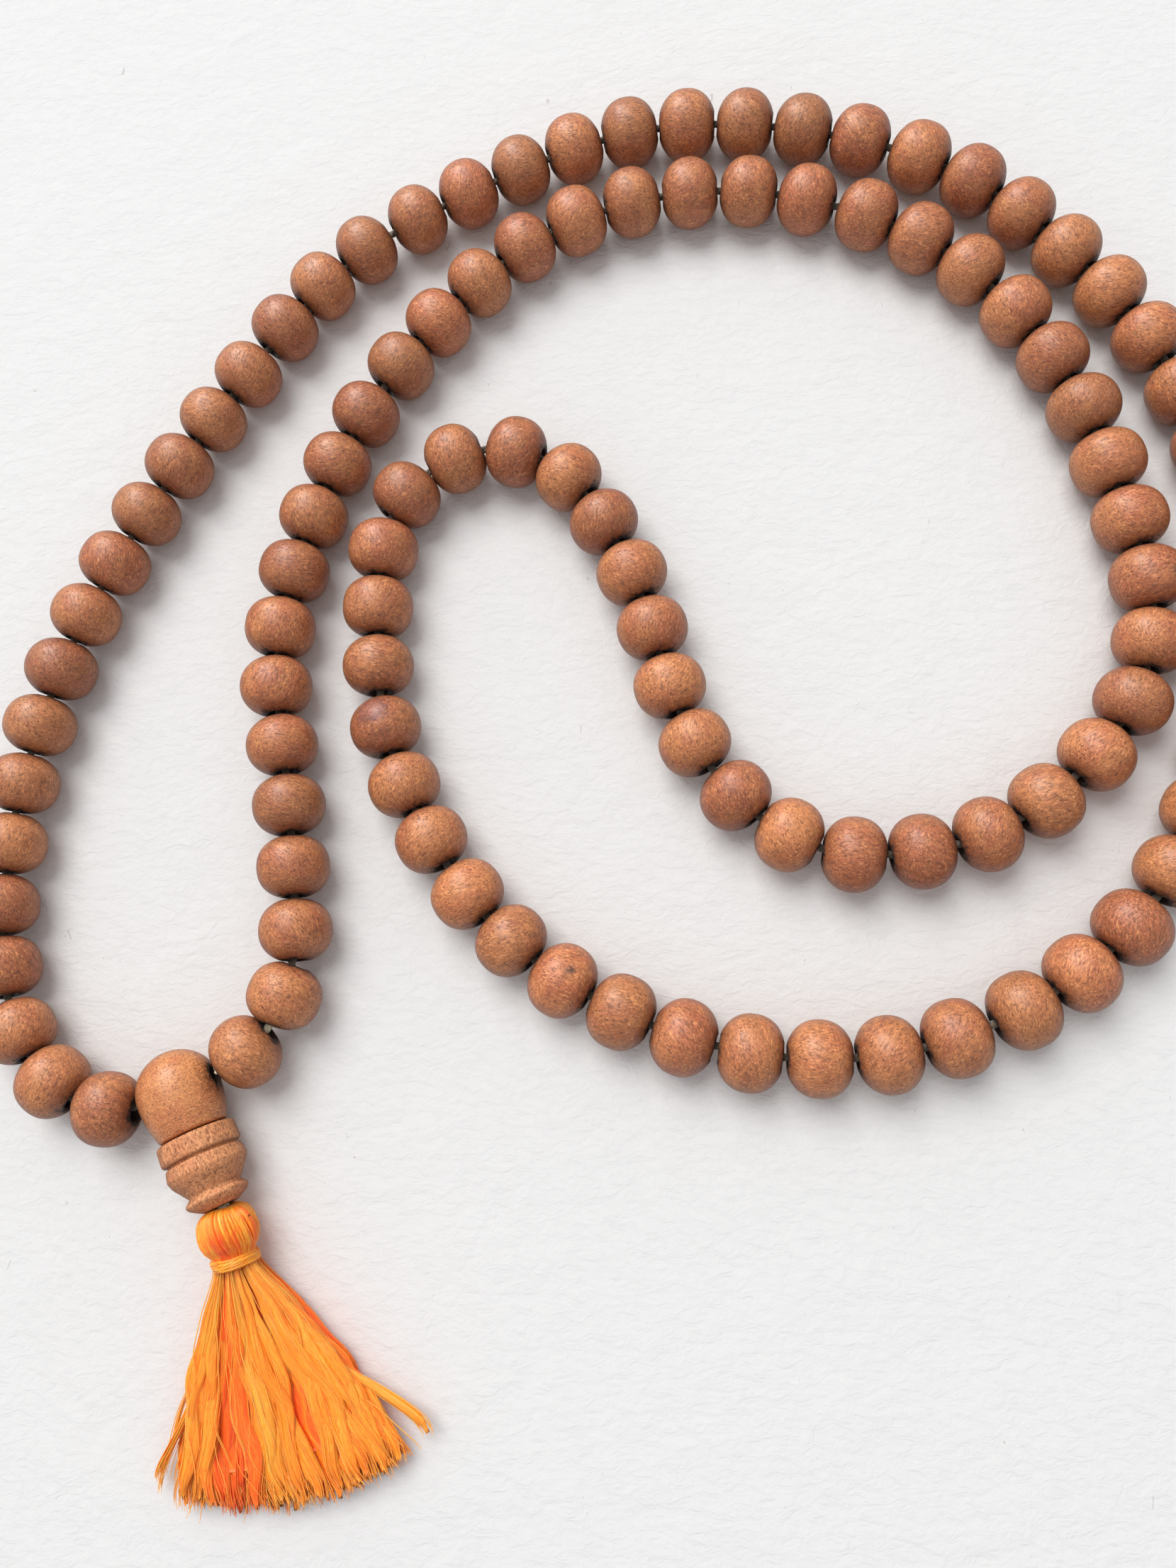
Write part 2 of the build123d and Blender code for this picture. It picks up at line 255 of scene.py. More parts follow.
@dataclass(frozen=True)
class WoodFinish:
    """Oiled, hand-worn turned wood. Its grain runs along the carried grain vector's Z, in millimetres."""

    name: str
    tan: Colour = (0.50, 0.185, 0.066)
    red: Colour = (0.42, 0.125, 0.050)
    fleck: Colour = (0.80, 0.36, 0.150)
    pore: Colour = (0.14, 0.040, 0.016)
    grime: Colour = (0.016, 0.008, 0.005)
    roughness: float = 0.50
    varnish: float = 0.22
    relief: float = 0.055
    flecks: float = 0.50
    # How far dark dust, and painted shade where the beads meet, reach from the holes.
    grime_and_shade_reach: float = 0.62
    # How much darker the wood is painted toward its outline: painted shade at its edges.
    painted_limb_shade: float = 0.42

    def build(self, grain: "Grain") -> bpy.types.Material:
        """Makes the material.

        Args:
            grain: Where its vectors come from.

        Returns:
            The material.
        """
        board = Board(self.name)
        at, hole, tone, mark = grain.sockets(board)
        split = board.node("SeparateXYZ", {0: tone})
        redness, lightness, banding = split.outputs
        cloud = board.noise(board.scaled(at, (0.42, 0.42, 0.16)), 2.0, 0.5, 0.4)
        share = board.maths("ADD", redness, board.graded(cloud, 0.34, 0.66, -0.42, 0.42))
        share = board.maths("MINIMUM", board.maths("MAXIMUM", share, 0.0), 1.0)
        colour = board.mixed(share, self.tan, self.red)

        wander = board.noise(board.scaled(at, (0.30, 0.30, 0.22)), 2.0, 0.5)
        layers = board.maths("MULTIPLY_ADD", wander, 9.0, board.node("SeparateXYZ", {0: at}).outputs[0])
        rings = board.graded(board.maths("SINE", board.maths("MULTIPLY", layers, 4.6)), -1.0, 1.0, 1.0, 0.80)
        rings = board.maths("ADD", 1.0, board.maths("MULTIPLY", banding, board.maths("SUBTRACT", rings, 1.0)))
        colour = board.mixed(1.0, colour, self._grey(board, rings), "MULTIPLY")

        streak = board.noise(board.scaled(at, (3.9, 3.9, 1.15)), 4.0, 0.62, 0.5)
        fine = board.noise(board.scaled(at, (6.5, 6.5, 2.6), (7.0, 3.0, 5.0)), 3.0, 0.65, 0.3)
        light = board.maths("MULTIPLY", board.graded(streak, 0.46, 0.64), board.graded(fine, 0.42, 0.60))
        colour = board.mixed(board.maths("MULTIPLY", light, self.flecks), colour, self.fleck)
        vessel = board.noise(board.scaled(at, (4.6, 4.6, 2.0), (41.0, 13.0, 29.0)), 3.0, 0.6, 0.4)
        pores = board.graded(vessel, 0.46, 0.33)
        colour = board.mixed(board.maths("MULTIPLY", pores, 0.60), colour, self.pore)
        shade = board.graded(fine, 0.30, 0.70, 0.74, 1.24)
        shade = board.maths("MULTIPLY", shade, lightness)
        # Painted shade: the colour darkens toward the outline, where the surface turns away.
        facing = board.node("LayerWeight", {"Blend": 0.5}).outputs["Facing"]
        shade = board.maths("MULTIPLY", shade, board.graded(facing, 0.35, 1.0, 1.0, 1.0 - self.painted_limb_shade))
        colour = board.mixed(1.0, colour, self._grey(board, shade), "MULTIPLY")

        colour, hollow = self._blemishes(board, colour, mark, cloud)
        ragged = board.noise(board.scaled(at, (1.5, 1.5, 1.5)), 4.0, 0.7)
        reach = board.maths("ADD", hole, board.graded(ragged, 0.3, 0.7, 0.45, -0.45))
        grime = board.graded(reach, self.grime_and_shade_reach, -0.05)
        # The soft darkening round the holes is partly dust and partly painted shade where the beads meet.
        soft = board.graded(reach, self.grime_and_shade_reach * 3.6, 0.1, 0.0, 0.72)
        colour = board.mixed(soft, colour, self.pore)
        colour = board.mixed(board.maths("MULTIPLY", grime, 0.95), colour, self.grime)

        gloss = board.graded(fine, 0.3, 0.7, self.roughness - 0.07, self.roughness + 0.09)
        gloss = board.maths("ADD", gloss, board.maths("MULTIPLY", grime, 0.25))
        height = board.maths("SUBTRACT", board.maths("MULTIPLY", streak, 0.6),
                             board.maths("MULTIPLY", pores, 0.7))
        height = board.maths("ADD", height, board.maths("MULTIPLY", fine, 0.35))
        height = board.maths("SUBTRACT", height, board.maths("MULTIPLY", hollow, 4.0))
        board.bump(height, self.relief)
        board.set(Base_Color=colour, Roughness=gloss, Coat_Weight=self.varnish, Coat_Roughness=0.34,
                  Specular_IOR_Level=0.45)
        return board.material

    @staticmethod
    def _grey(board: Board, value: bpy.types.NodeSocket) -> bpy.types.NodeSocket:
        """A number as a grey colour."""
        return board.node("CombineColor", {0: value, 1: value, 2: value}).outputs[0]

    def _blemishes(self, board: Board, colour: bpy.types.NodeSocket, mark: bpy.types.NodeSocket,
                   cloud: bpy.types.NodeSocket) -> tuple[bpy.types.NodeSocket, bpy.types.NodeSocket]:
        """Adds the knot, stain, dash or pit that a bead carries.

        Args:
            board: The material's board.
            colour: The wood's colour so far.
            mark: Place across the mark in millimetres, and its kind.
            cloud: A slow noise. Not used.

        Returns:
            The colour, and how deep the surface is eaten away.
        """
        split = board.node("SeparateXYZ", {0: mark})
        kind = split.outputs[2]
        rough = board.noise(board.scaled(mark, (2.6, 2.6, 0.0), (3.0, 1.0, 0.0)), 4.0, 0.65)
        wobble = board.graded(rough, 0.3, 0.7, -0.30, 0.30)

        def shape(wide: float, tall: float) -> bpy.types.NodeSocket:
            """Distance from the mark's middle, 1 at the edge of an uneven oval."""
            flat = board.scaled(mark, (1 / wide, 1 / tall, 0.0))
            away = board.node("VectorMath", {0: flat}, operation="LENGTH").outputs["Value"]
            return board.maths("ADD", away, wobble)

        def only(which: Blemish, value: bpy.types.NodeSocket) -> bpy.types.NodeSocket:
            """The value on beads with this mark, and 0 on the others."""
            return board.maths("MULTIPLY", value, board.maths("COMPARE", kind, which.value, 0.2))

        oval = shape(1.70, 1.40)
        heart = only(Blemish.KNOT, board.graded(oval, 1.0, 0.7, 0.0, 0.55))
        edge = board.maths("MULTIPLY", board.graded(oval, 1.15, 0.95), board.graded(oval, 0.60, 0.85))
        colour = board.mixed(heart, colour, (0.235, 0.070, 0.055))
        rim = only(Blemish.KNOT, board.maths("MULTIPLY", edge, 0.7))
        colour = board.mixed(rim, colour, (0.13, 0.040, 0.034))
        spot = board.maths("MULTIPLY", board.graded(shape(0.85, 0.62), 1.2, 0.3),
                           board.graded(rough, 0.34, 0.58))
        colour = board.mixed(only(Blemish.STAIN, spot), colour, (0.028, 0.024, 0.024))
        dash = board.graded(shape(0.16, 0.75), 1.3, 0.6, 0.0, 0.75)
        colour = board.mixed(only(Blemish.DASH, dash), colour, (0.15, 0.045, 0.028))
        pit = only(Blemish.PIT, board.maths("MULTIPLY", board.graded(shape(1.25, 0.7), 1.2, 0.4),
                                            board.graded(rough, 0.38, 0.60)))
        colour = board.mixed(pit, colour, (0.035, 0.018, 0.012))
        return colour, pit


class Grain:
    """Where a wood finish reads its place in the timber: from values that the mesh carries."""

    def sockets(self, board: Board) -> tuple[bpy.types.NodeSocket, ...]:
        """The grain place, the distance from a hole, the tone and the mark."""
        return (
            board.attribute("grain").outputs["Vector"],
            board.attribute("hole").outputs["Fac"],
            board.attribute("tone").outputs["Vector"],
            board.attribute("mark").outputs["Vector"],
        )


@dataclass(frozen=True)
class CadGrain(Grain):
    """Where a wood finish reads its place on a CAD node, whose own frame is the part's."""

    centre: Vector
    turn: tuple[float, float, float]
    tone: Colour

    def sockets(self, board: Board) -> tuple[bpy.types.NodeSocket, ...]:
        """The grain place, the distance from the strand's hole, the tone and no mark."""
        place = board.node("TexCoord").outputs["Object"]
        local = board.node("VectorMath", {0: place, 1: tuple(self.centre)}, operation="SUBTRACT").outputs[0]
        local = board.node("VectorRotate", {"Vector": local, "Rotation": self.turn},
                           rotation_type="EULER_XYZ", invert=True).outputs[0]
        local = board.scaled(local, (1000.0, 1000.0, 1000.0))
        off_axis = board.scaled(local, (0.0, 1.0, 1.0))
        away = board.node("VectorMath", {0: off_axis}, operation="LENGTH").outputs["Value"]
        hole = board.maths("SUBTRACT", away, 1.15)
        tone = board.node("CombineXYZ", dict(enumerate(self.tone))).outputs[0]
        mark = board.node("CombineXYZ").outputs[0]
        return local, hole, tone, mark


@dataclass(frozen=True)
class SilkFinish:
    """Floss silk: fine bright filaments that glow where they are thin and deepen between the locks, partly in
    real shade and partly in shade painted through the tone that the mesh carries.
    """

    name: str
    stops: Stops = (
        (0.00, (0.92, 0.060, 0.006)),
        (0.30, (1.00, 0.145, 0.008)),
        (0.60, (1.00, 0.275, 0.014)),
        (1.00, (1.00, 0.440, 0.055)),
    )
    roughness: float = 0.42
    sheen: float = 0.45
    glow: float = 0.30
    glow_depth: float = 0.7
    glow_reach: Colour = (1.0, 0.36, 0.10)

    def build(self) -> bpy.types.Material:
        """Makes the material, which reads each filament's place, number and tone from the mesh."""
        board = Board(self.name)
        silk = board.attribute("silk").outputs["Vector"]
        split = board.node("SeparateXYZ", {0: silk})
        lengthwise = board.noise(board.scaled(silk, (0.35, 37.0, 0.0)), 3.0, 0.6)
        glints = board.noise(board.scaled(silk, (1.6, 53.0, 0.0), (5.0, 2.0, 0.0)), 2.0, 0.5)
        tone = board.maths("ADD", split.outputs[2], board.graded(lengthwise, 0.25, 0.75, -0.22, 0.22))
        colour = board.ramp(board.maths("ADD", tone, board.graded(glints, 0.3, 0.7, -0.12, 0.12)), self.stops)
        gloss = board.graded(glints, 0.3, 0.7, self.roughness - 0.1, self.roughness + 0.1)
        board.bump(board.maths("ADD", lengthwise, glints), 0.022)
        board.set(Base_Color=colour, Roughness=gloss, Sheen_Weight=self.sheen, Sheen_Roughness=0.35,
                  Sheen_Tint=(1.0, 0.62, 0.25, 1.0), Specular_IOR_Level=0.5, Subsurface_Weight=self.glow,
                  Subsurface_Radius=self.glow_reach, Subsurface_Scale=self.glow_depth * MM)
        return board.material


@dataclass(frozen=True)
class ThreadFinish:
    """Pale cotton thread, a little grey and furry, soiled where it rubs in the holes."""

    name: str = "cotton_thread"
    pale: Colour = (0.74, 0.62, 0.44)
    soiled: Colour = (0.085, 0.050, 0.030)

    def build(self) -> bpy.types.Material:
        """Makes the material."""
        board = Board(self.name)
        fibre = board.attribute("silk").outputs["Vector"]
        clean = board.node("SeparateXYZ", {0: fibre}).outputs[2]
        dirt = board.noise(board.scaled(fibre, (0.30, 3.0, 0.0)), 3.0, 0.6)
        dirt = board.maths("SUBTRACT", dirt, board.maths("MULTIPLY_ADD", clean, 0.5, -0.30))
        fluff = board.noise(board.scaled(fibre, (5.0, 41.0, 0.0)), 3.0, 0.6)
        colour = board.mixed(board.graded(dirt, 0.40, 0.66, 0.0, 0.92), self.pale, self.soiled)
        shade = board.ramp(fluff, ((0.3, (0.78, 0.78, 0.78)), (0.7, (1.0, 1.0, 1.0))))
        board.bump(fluff, 0.03)
        board.set(Base_Color=board.mixed(1.0, colour, shade, "MULTIPLY"), Sheen_Weight=0.3,
                  Sheen_Roughness=0.6, Roughness=board.graded(fluff, 0.3, 0.7, 0.78, 0.92))
        return board.material


@dataclass
class Stock:
    """Points and faces gathered for one mesh, with the values that its finish reads."""

    points: list[np.ndarray] = field(default_factory=list)
    faces: list[np.ndarray] = field(default_factory=list)
    values: dict[str, list[np.ndarray]] = field(default_factory=dict)
    count: int = 0

    def add(self, points: np.ndarray, faces: list[np.ndarray], **values: np.ndarray) -> None:
        """Adds a piece.

        Args:
            points: Its points in millimetres.
            faces: Arrays of point numbers, one row a face.
            **values: One row for each point, by the value's name.
        """
        self.points.append(points)
        self.faces += [rows + self.count for rows in faces]
        for name, rows in values.items():
            self.values.setdefault(name, []).append(rows)
        self.count += len(points)

    def make(self, name: str, material: bpy.types.Material, body: str, slot: Slot,
             nodes: tuple[str, ...]) -> bpy.types.Object:
        """Makes the mesh, shades it smooth and puts it on its body.

        Args:
            name: The piece's name.
            material: Its finish.
            body: The CAD body that it moves with.
            slot: The record's material slot that it stands for. Not used.
            nodes: The CAD nodes that it replaces.

        Returns:
            The object.
        """
        mesh = bpy.data.meshes.new(name)
        points = np.concatenate(self.points) * MM
        mesh.vertices.add(len(points))
        mesh.vertices.foreach_set("co", points.astype(np.float32).ravel())
        sizes = np.concatenate([np.full(len(rows), rows.shape[1]) for rows in self.faces])
        mesh.loops.add(int(sizes.sum()))
        corners = np.concatenate([rows.ravel() for rows in self.faces])
        mesh.loops.foreach_set("vertex_index", corners.astype(np.int32))
        mesh.polygons.add(len(sizes))
        starts = np.concatenate([[0], np.cumsum(sizes)[:-1]])
        mesh.polygons.foreach_set("loop_start", starts.astype(np.int32))
        mesh.update(calc_edges=True)
        mesh.validate()
        mesh.shade_smooth()
        for key, rows in self.values.items():
            data = np.concatenate(rows).astype(np.float32)
            kind, socket = ("FLOAT_VECTOR", "vector") if data.ndim == 2 else ("FLOAT", "value")
            mesh.attributes.new(key, kind, "POINT").data.foreach_set(socket, data.ravel())
        mesh.materials.append(material)
        piece = bpy.data.objects.new(name, mesh)
        bpy.context.scene.collection.objects.link(piece)
        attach(piece, body)
        if nodes:
            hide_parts(*nodes)
        return piece


def ring_faces(rings: int, around: int, closed: bool = False) -> np.ndarray:
    """Faces between rows of points that go round.

    Args:
        rings: How many rows there are.
        around: How many points each has.
        closed: Whether the last row joins the first.

    Returns:
        One row of four point numbers a face.
    """
    row = np.arange(rings if closed else rings - 1)[:, None]
    step = np.arange(around)[None, :]
    after, beside = (row + 1) % rings, (step + 1) % around
    quads = np.stack([row * around + step, row * around + beside,
                      after * around + beside, after * around + step], -1)
    return quads.reshape(-1, 4)


def filaments(paths: np.ndarray, radii: np.ndarray, sides: int,
              reference: tuple[float, float, float] = (0.0, 0.0, 1.0)) -> tuple[np.ndarray, list[np.ndarray]]:
    """Round filaments along many paths at once, with closed ends.

    Args:
        paths: Points of each path, (paths, points, 3).
        radii: Radius at each point, (paths, points).
        sides: How many sides each has.
        reference: A direction that no path follows.

    Returns:
        The points, path by path and ring by ring, and the faces.
    """
    count, length, _ = paths.shape
    heading = unit(np.gradient(paths, axis=1))
    across = unit(np.cross(heading, np.array(reference)))
    over = np.cross(across, heading)
    turn = np.arange(sides) * 2 * math.pi / sides
    ring = (np.cos(turn)[None, None, :, None] * across[:, :, None, :]
            + np.sin(turn)[None, None, :, None] * over[:, :, None, :])
    points = paths[:, :, None, :] + radii[:, :, None, None] * ring
    offset = (np.arange(count) * length * sides)[:, None, None]
    walls = (ring_faces(length, sides)[None] + offset).reshape(-1, 4)
    start = (np.arange(sides)[None] + offset[:, 0])
    end = ((length - 1) * sides + np.arange(sides)[::-1][None] + offset[:, 0])
    return points.reshape(-1, 3), [walls, start, end]


def smooth_row(stations: tuple[tuple[float, ...], ...], places: np.ndarray) -> np.ndarray:
    """Values read smoothly between stations, with no overshoot.

    Args:
        stations: Rows of a place and its values, in order of place.
        places: Where the values are wanted.

    Returns:
        One row of values for each place.
    """
    table = np.array(stations)
    known, values = table[:, 0], table[:, 1:]
    slopes = np.diff(values, axis=0) / np.diff(known)[:, None]
    tangents = np.zeros_like(values)
    tangents[0], tangents[-1] = slopes[0], slopes[-1]
    same = slopes[:-1] * slopes[1:] > 0
    total = np.where(same, slopes[:-1] + slopes[1:], 1)
    tangents[1:-1] = np.where(same, 2 * slopes[:-1] * slopes[1:] / total, 0)
    index = np.clip(np.searchsorted(known, places) - 1, 0, len(known) - 2)
    gap = (known[index + 1] - known[index])[..., None]
    t = np.clip((places - known[index])[..., None] / gap, 0, 1)
    low, high = values[index], values[index + 1]
    return ((2 * t**3 - 3 * t**2 + 1) * low + (t**3 - 2 * t**2 + t) * gap * tangents[index]
            + (3 * t**2 - 2 * t**3) * high + (t**3 - t**2) * gap * tangents[index + 1])


def spline_line(name: str, points: np.ndarray, fineness: int) -> np.ndarray:
    """Points read along a smooth NURBS spline through space.

    Args:
        name: What the spline is called while it is made.
        points: Its control points in metres.
        fineness: How many points each of its spans gives.

    Returns:
        The points in millimetres, (points, 3).
    """
    curve = bpy.data.curves.new(name, "CURVE")
    curve.dimensions = "3D"
    spline = curve.splines.new("NURBS")
    spline.points.add(len(points) - 1)
    weighted = np.column_stack([points, np.ones(len(points))])
    spline.points.foreach_set("co", weighted.astype(np.float32).ravel())
    spline.order_u = 3
    spline.use_endpoint_u = True
    curve.resolution_u = fineness
    holder = bpy.data.objects.new(name, curve)
    bpy.context.scene.collection.objects.link(holder)
    bpy.context.view_layer.update()
    line = bpy.data.meshes.new_from_object(holder.evaluated_get(bpy.context.evaluated_depsgraph_get()))
    read = np.zeros(len(line.vertices) * 3, np.float32)
    line.vertices.foreach_get("co", read)
    bpy.data.objects.remove(holder)
    bpy.data.curves.remove(curve)
    bpy.data.meshes.remove(line)
    return read.reshape(-1, 3).astype(float) / MM


@dataclass(frozen=True)
class Strand:
    """The route of the whole cord, from the middle of the guru bead round to it again, in metres."""

    corners: tuple[tuple[float, float], ...] = (
        (-0.0519, -0.0395), (-0.0626, -0.0313), (-0.0659, -0.0175), (-0.0644, -0.0005), (-0.0590, 0.0170),
        (-0.0485, 0.0353), (-0.0315, 0.0591), (-0.0125, 0.0687), (0.0040, 0.0744), (0.0225, 0.0728),
        (0.0410, 0.0655), (0.0558, 0.0487), (0.0632, 0.0340), (0.0662, 0.0160), (0.0622, -0.0015),
        (0.0554, -0.0165), (0.0435, -0.0271), (0.0280, -0.0329), (0.0103, -0.0321), (-0.0065, -0.0243),
        (-0.0166, -0.0141), (-0.0243, 0.0010), (-0.0254, 0.0160), (-0.0244, 0.0285), (-0.0145, 0.0351),
        (-0.0046, 0.0320), (0.0032, 0.0190), (0.0080, 0.0005), (0.0155, -0.0091), (0.0250, -0.0132),
        (0.0400, -0.0110), (0.0522, -0.0005), (0.0570, 0.0110), (0.0546, 0.0240), (0.0503, 0.0390),
        (0.0420, 0.0519), (0.0315, 0.0600), (0.0165, 0.0651), (0.0025, 0.0645), (-0.0095, 0.0598),
        (-0.0205, 0.0493), (-0.0288, 0.0375), (-0.0342, 0.0240), (-0.0370, 0.0105), (-0.0338, -0.0070),
        (-0.0322, -0.0240), (-0.0362, -0.0321),
    )
    level: float = 0.00388
    guru_level: float = 0.00425
    fineness: int = 48

    def line(self) -> np.ndarray:
        """The route's points in millimetres, read from its spline."""
        points = np.array([(x, y, self.level) for x, y in self.corners])
        points[[0, -1], 2] = self.guru_level
        guru = (points[:1] + points[-1:]) / 2
        return spline_line("strand_route", np.concatenate([guru, points, guru]), self.fineness)


@dataclass(frozen=True)
class Thread:
    """Three-ply cotton thread laid along a line."""

    plies: int = 3
    lay_radius: float = 0.205
    ply_radius: float = 0.225
    pitch: float = 2.3
    sides: int = 7

    def add(self, stock: Stock, line: np.ndarray, number: float, reference: tuple[float, float, float],
            clean: np.ndarray | float = 0.0) -> None:
        """Adds the thread along a line to a stock.

        Args:
            stock: What it is added to.
            line: The points that it follows, in millimetres.
            number: Tells this length from the others in the finish.
            reference: A direction that the line doesn't follow.
            clean: 1 where the thread is still pale, and 0 where the holes have soiled it.
        """
        run = np.concatenate([[0], np.cumsum(np.linalg.norm(np.diff(line, axis=0), axis=1))])
        heading = unit(np.gradient(line, axis=0))
        across = unit(np.cross(heading, np.array(reference)))
        over = np.cross(across, heading)
        turn = 2 * math.pi * (run[None] / self.pitch + np.arange(self.plies)[:, None] / self.plies)
        lay = np.cos(turn)[..., None] * across + np.sin(turn)[..., None] * over
        paths = line[None] + self.lay_radius * lay
        points, faces = filaments(paths, np.full(paths.shape[:2], self.ply_radius), self.sides, reference)
        told = np.zeros((self.plies, len(line), self.sides, 3))
        told[..., 0] = run[None, :, None]
        told[..., 1] = number + np.arange(self.sides)[None, None, :] / self.sides
        told[..., 2] = np.reshape(clean, (1, -1, 1))
        stock.add(points, faces, silk=told.reshape(-1, 3))


@dataclass(frozen=True)
class StrandThread:
    """The strand's thread in the lengths that the CAD cord is made in."""

    thread: Thread = Thread()
    overlap: float = 0.25
    pale_from: float = 16.0
    break_over: float = 40.0

    def build(self, line: np.ndarray, finish: bpy.types.Material) -> int:
        """Makes each length on its own body.

        Args:
            line: The whole route's points.
            finish: The thread's material.

        Returns:
            How many lengths were made.
        """
        run = np.concatenate([[0], np.cumsum(np.linalg.norm(np.diff(line, axis=0), axis=1))])
        bodies = node_bodies()
        names = sorted(name for name in frame["nodes"] if name.startswith("cord_"))
        for number, name in enumerate(names):
            mesh = frame["nodes"][name].data
            points = np.zeros(len(mesh.vertices) * 3, np.float32)
            mesh.vertices.foreach_get("co", points)
            points = points.reshape(-1, 3) / MM
            away = ((points[::7, None, :] - line[None, ::2, :]) ** 2).sum(-1)
            near = np.sort(run[::2][away.argmin(1)])
            stretch = max(np.split(near, np.flatnonzero(np.diff(near) > self.break_over) + 1), key=len)
            mine = (run >= stretch[0] - self.overlap) & (run <= stretch[-1] + self.overlap)
            pale = ease(run[mine], run[-1] - self.pale_from, run[-1] - self.pale_from + 1.0)
            stock = Stock()
            self.thread.add(stock, line[mine], number * 3.7, (0.0, 0.0, 1.0), pale)
            stock.make("thread_" + name.removeprefix("cord_"), finish, bodies[name], Slot.THREAD, (name,))
        return len(names)


@dataclass(frozen=True)
class BeadPlace:
    """Where one bead sits: its number from the guru bead, its middle and its hole's direction."""

    number: int
    centre: np.ndarray
    axis: np.ndarray


class BeadFinder:
    """Reads where the CAD beads sit, so that the dressed beads sit there too."""

    def __init__(self, line: np.ndarray) -> None:
        """Keeps the strand's line, which gives the beads' order."""
        self.line = line

    def places(self, node: str) -> list[BeadPlace]:
        """The beads of one CAD node, in order along the strand.

        Args:
            node: A node name that ends in its first and last bead's numbers.

        Returns:
            One place for each bead.
        """
        first, last = (int(part) for part in node.split("_")[-2:])
        mesh = frame["nodes"][node].data
        points = np.zeros(len(mesh.vertices) * 3, np.float32)
        mesh.vertices.foreach_get("co", points)
        points = points.reshape(-1, 3) / MM
        mesh.calc_loop_triangles()
        corners = np.zeros(len(mesh.loop_triangles) * 3, np.int32)
        mesh.loop_triangles.foreach_get("vertices", corners)
        a, b, c = points[corners.reshape(-1, 3)].transpose(1, 0, 2)
        middles, areas = (a + b + c) / 3, np.linalg.norm(np.cross(b - a, c - a), axis=1)
        groups = self._grouped(middles, last - first + 1)
        found = []
        for group in groups:
            weight = areas[group][:, None] / areas[group].sum()
            centre = (middles[group] * weight).sum(0)
            spread = middles[group] - centre
            axis = np.linalg.eigh(spread.T @ (spread * weight))[1][:, 0]
            nearest = int(((self.line - centre) ** 2).sum(1).argmin())
            ahead = self.line[min(nearest + 3, len(self.line) - 1)] - self.line[max(nearest - 3, 0)]
            found.append((nearest, centre, axis * np.sign(axis @ ahead)))
        found.sort(key=lambda item: item[0])
        return [BeadPlace(first + i, centre, axis) for i, (_, centre, axis) in enumerate(found)]

    def _grouped(self, points: np.ndarray, count: int) -> list[np.ndarray]:
        """Splits a node's points into its beads, by which middle each is nearest to."""
        spread = points - points.mean(0)
        along = spread @ np.linalg.eigh(spread.T @ spread)[1][:, 2]
        order = np.argsort(along)
        middles = np.array([points[part].mean(0) for part in np.array_split(order, count)])
        for _ in range(12):
            nearest = ((points[:, None] - middles[None]) ** 2).sum(-1).argmin(1)
            middles = np.array([points[nearest == i].mean(0) for i in range(count)])
        return [nearest == i for i in range(count)]


@dataclass(frozen=True)
class Mark:
    """A blemish on one bead: which side of the bead it is on, and how it is turned."""

    kind: Blemish
    toward: tuple[float, float, float]
    turn: float = 0.0


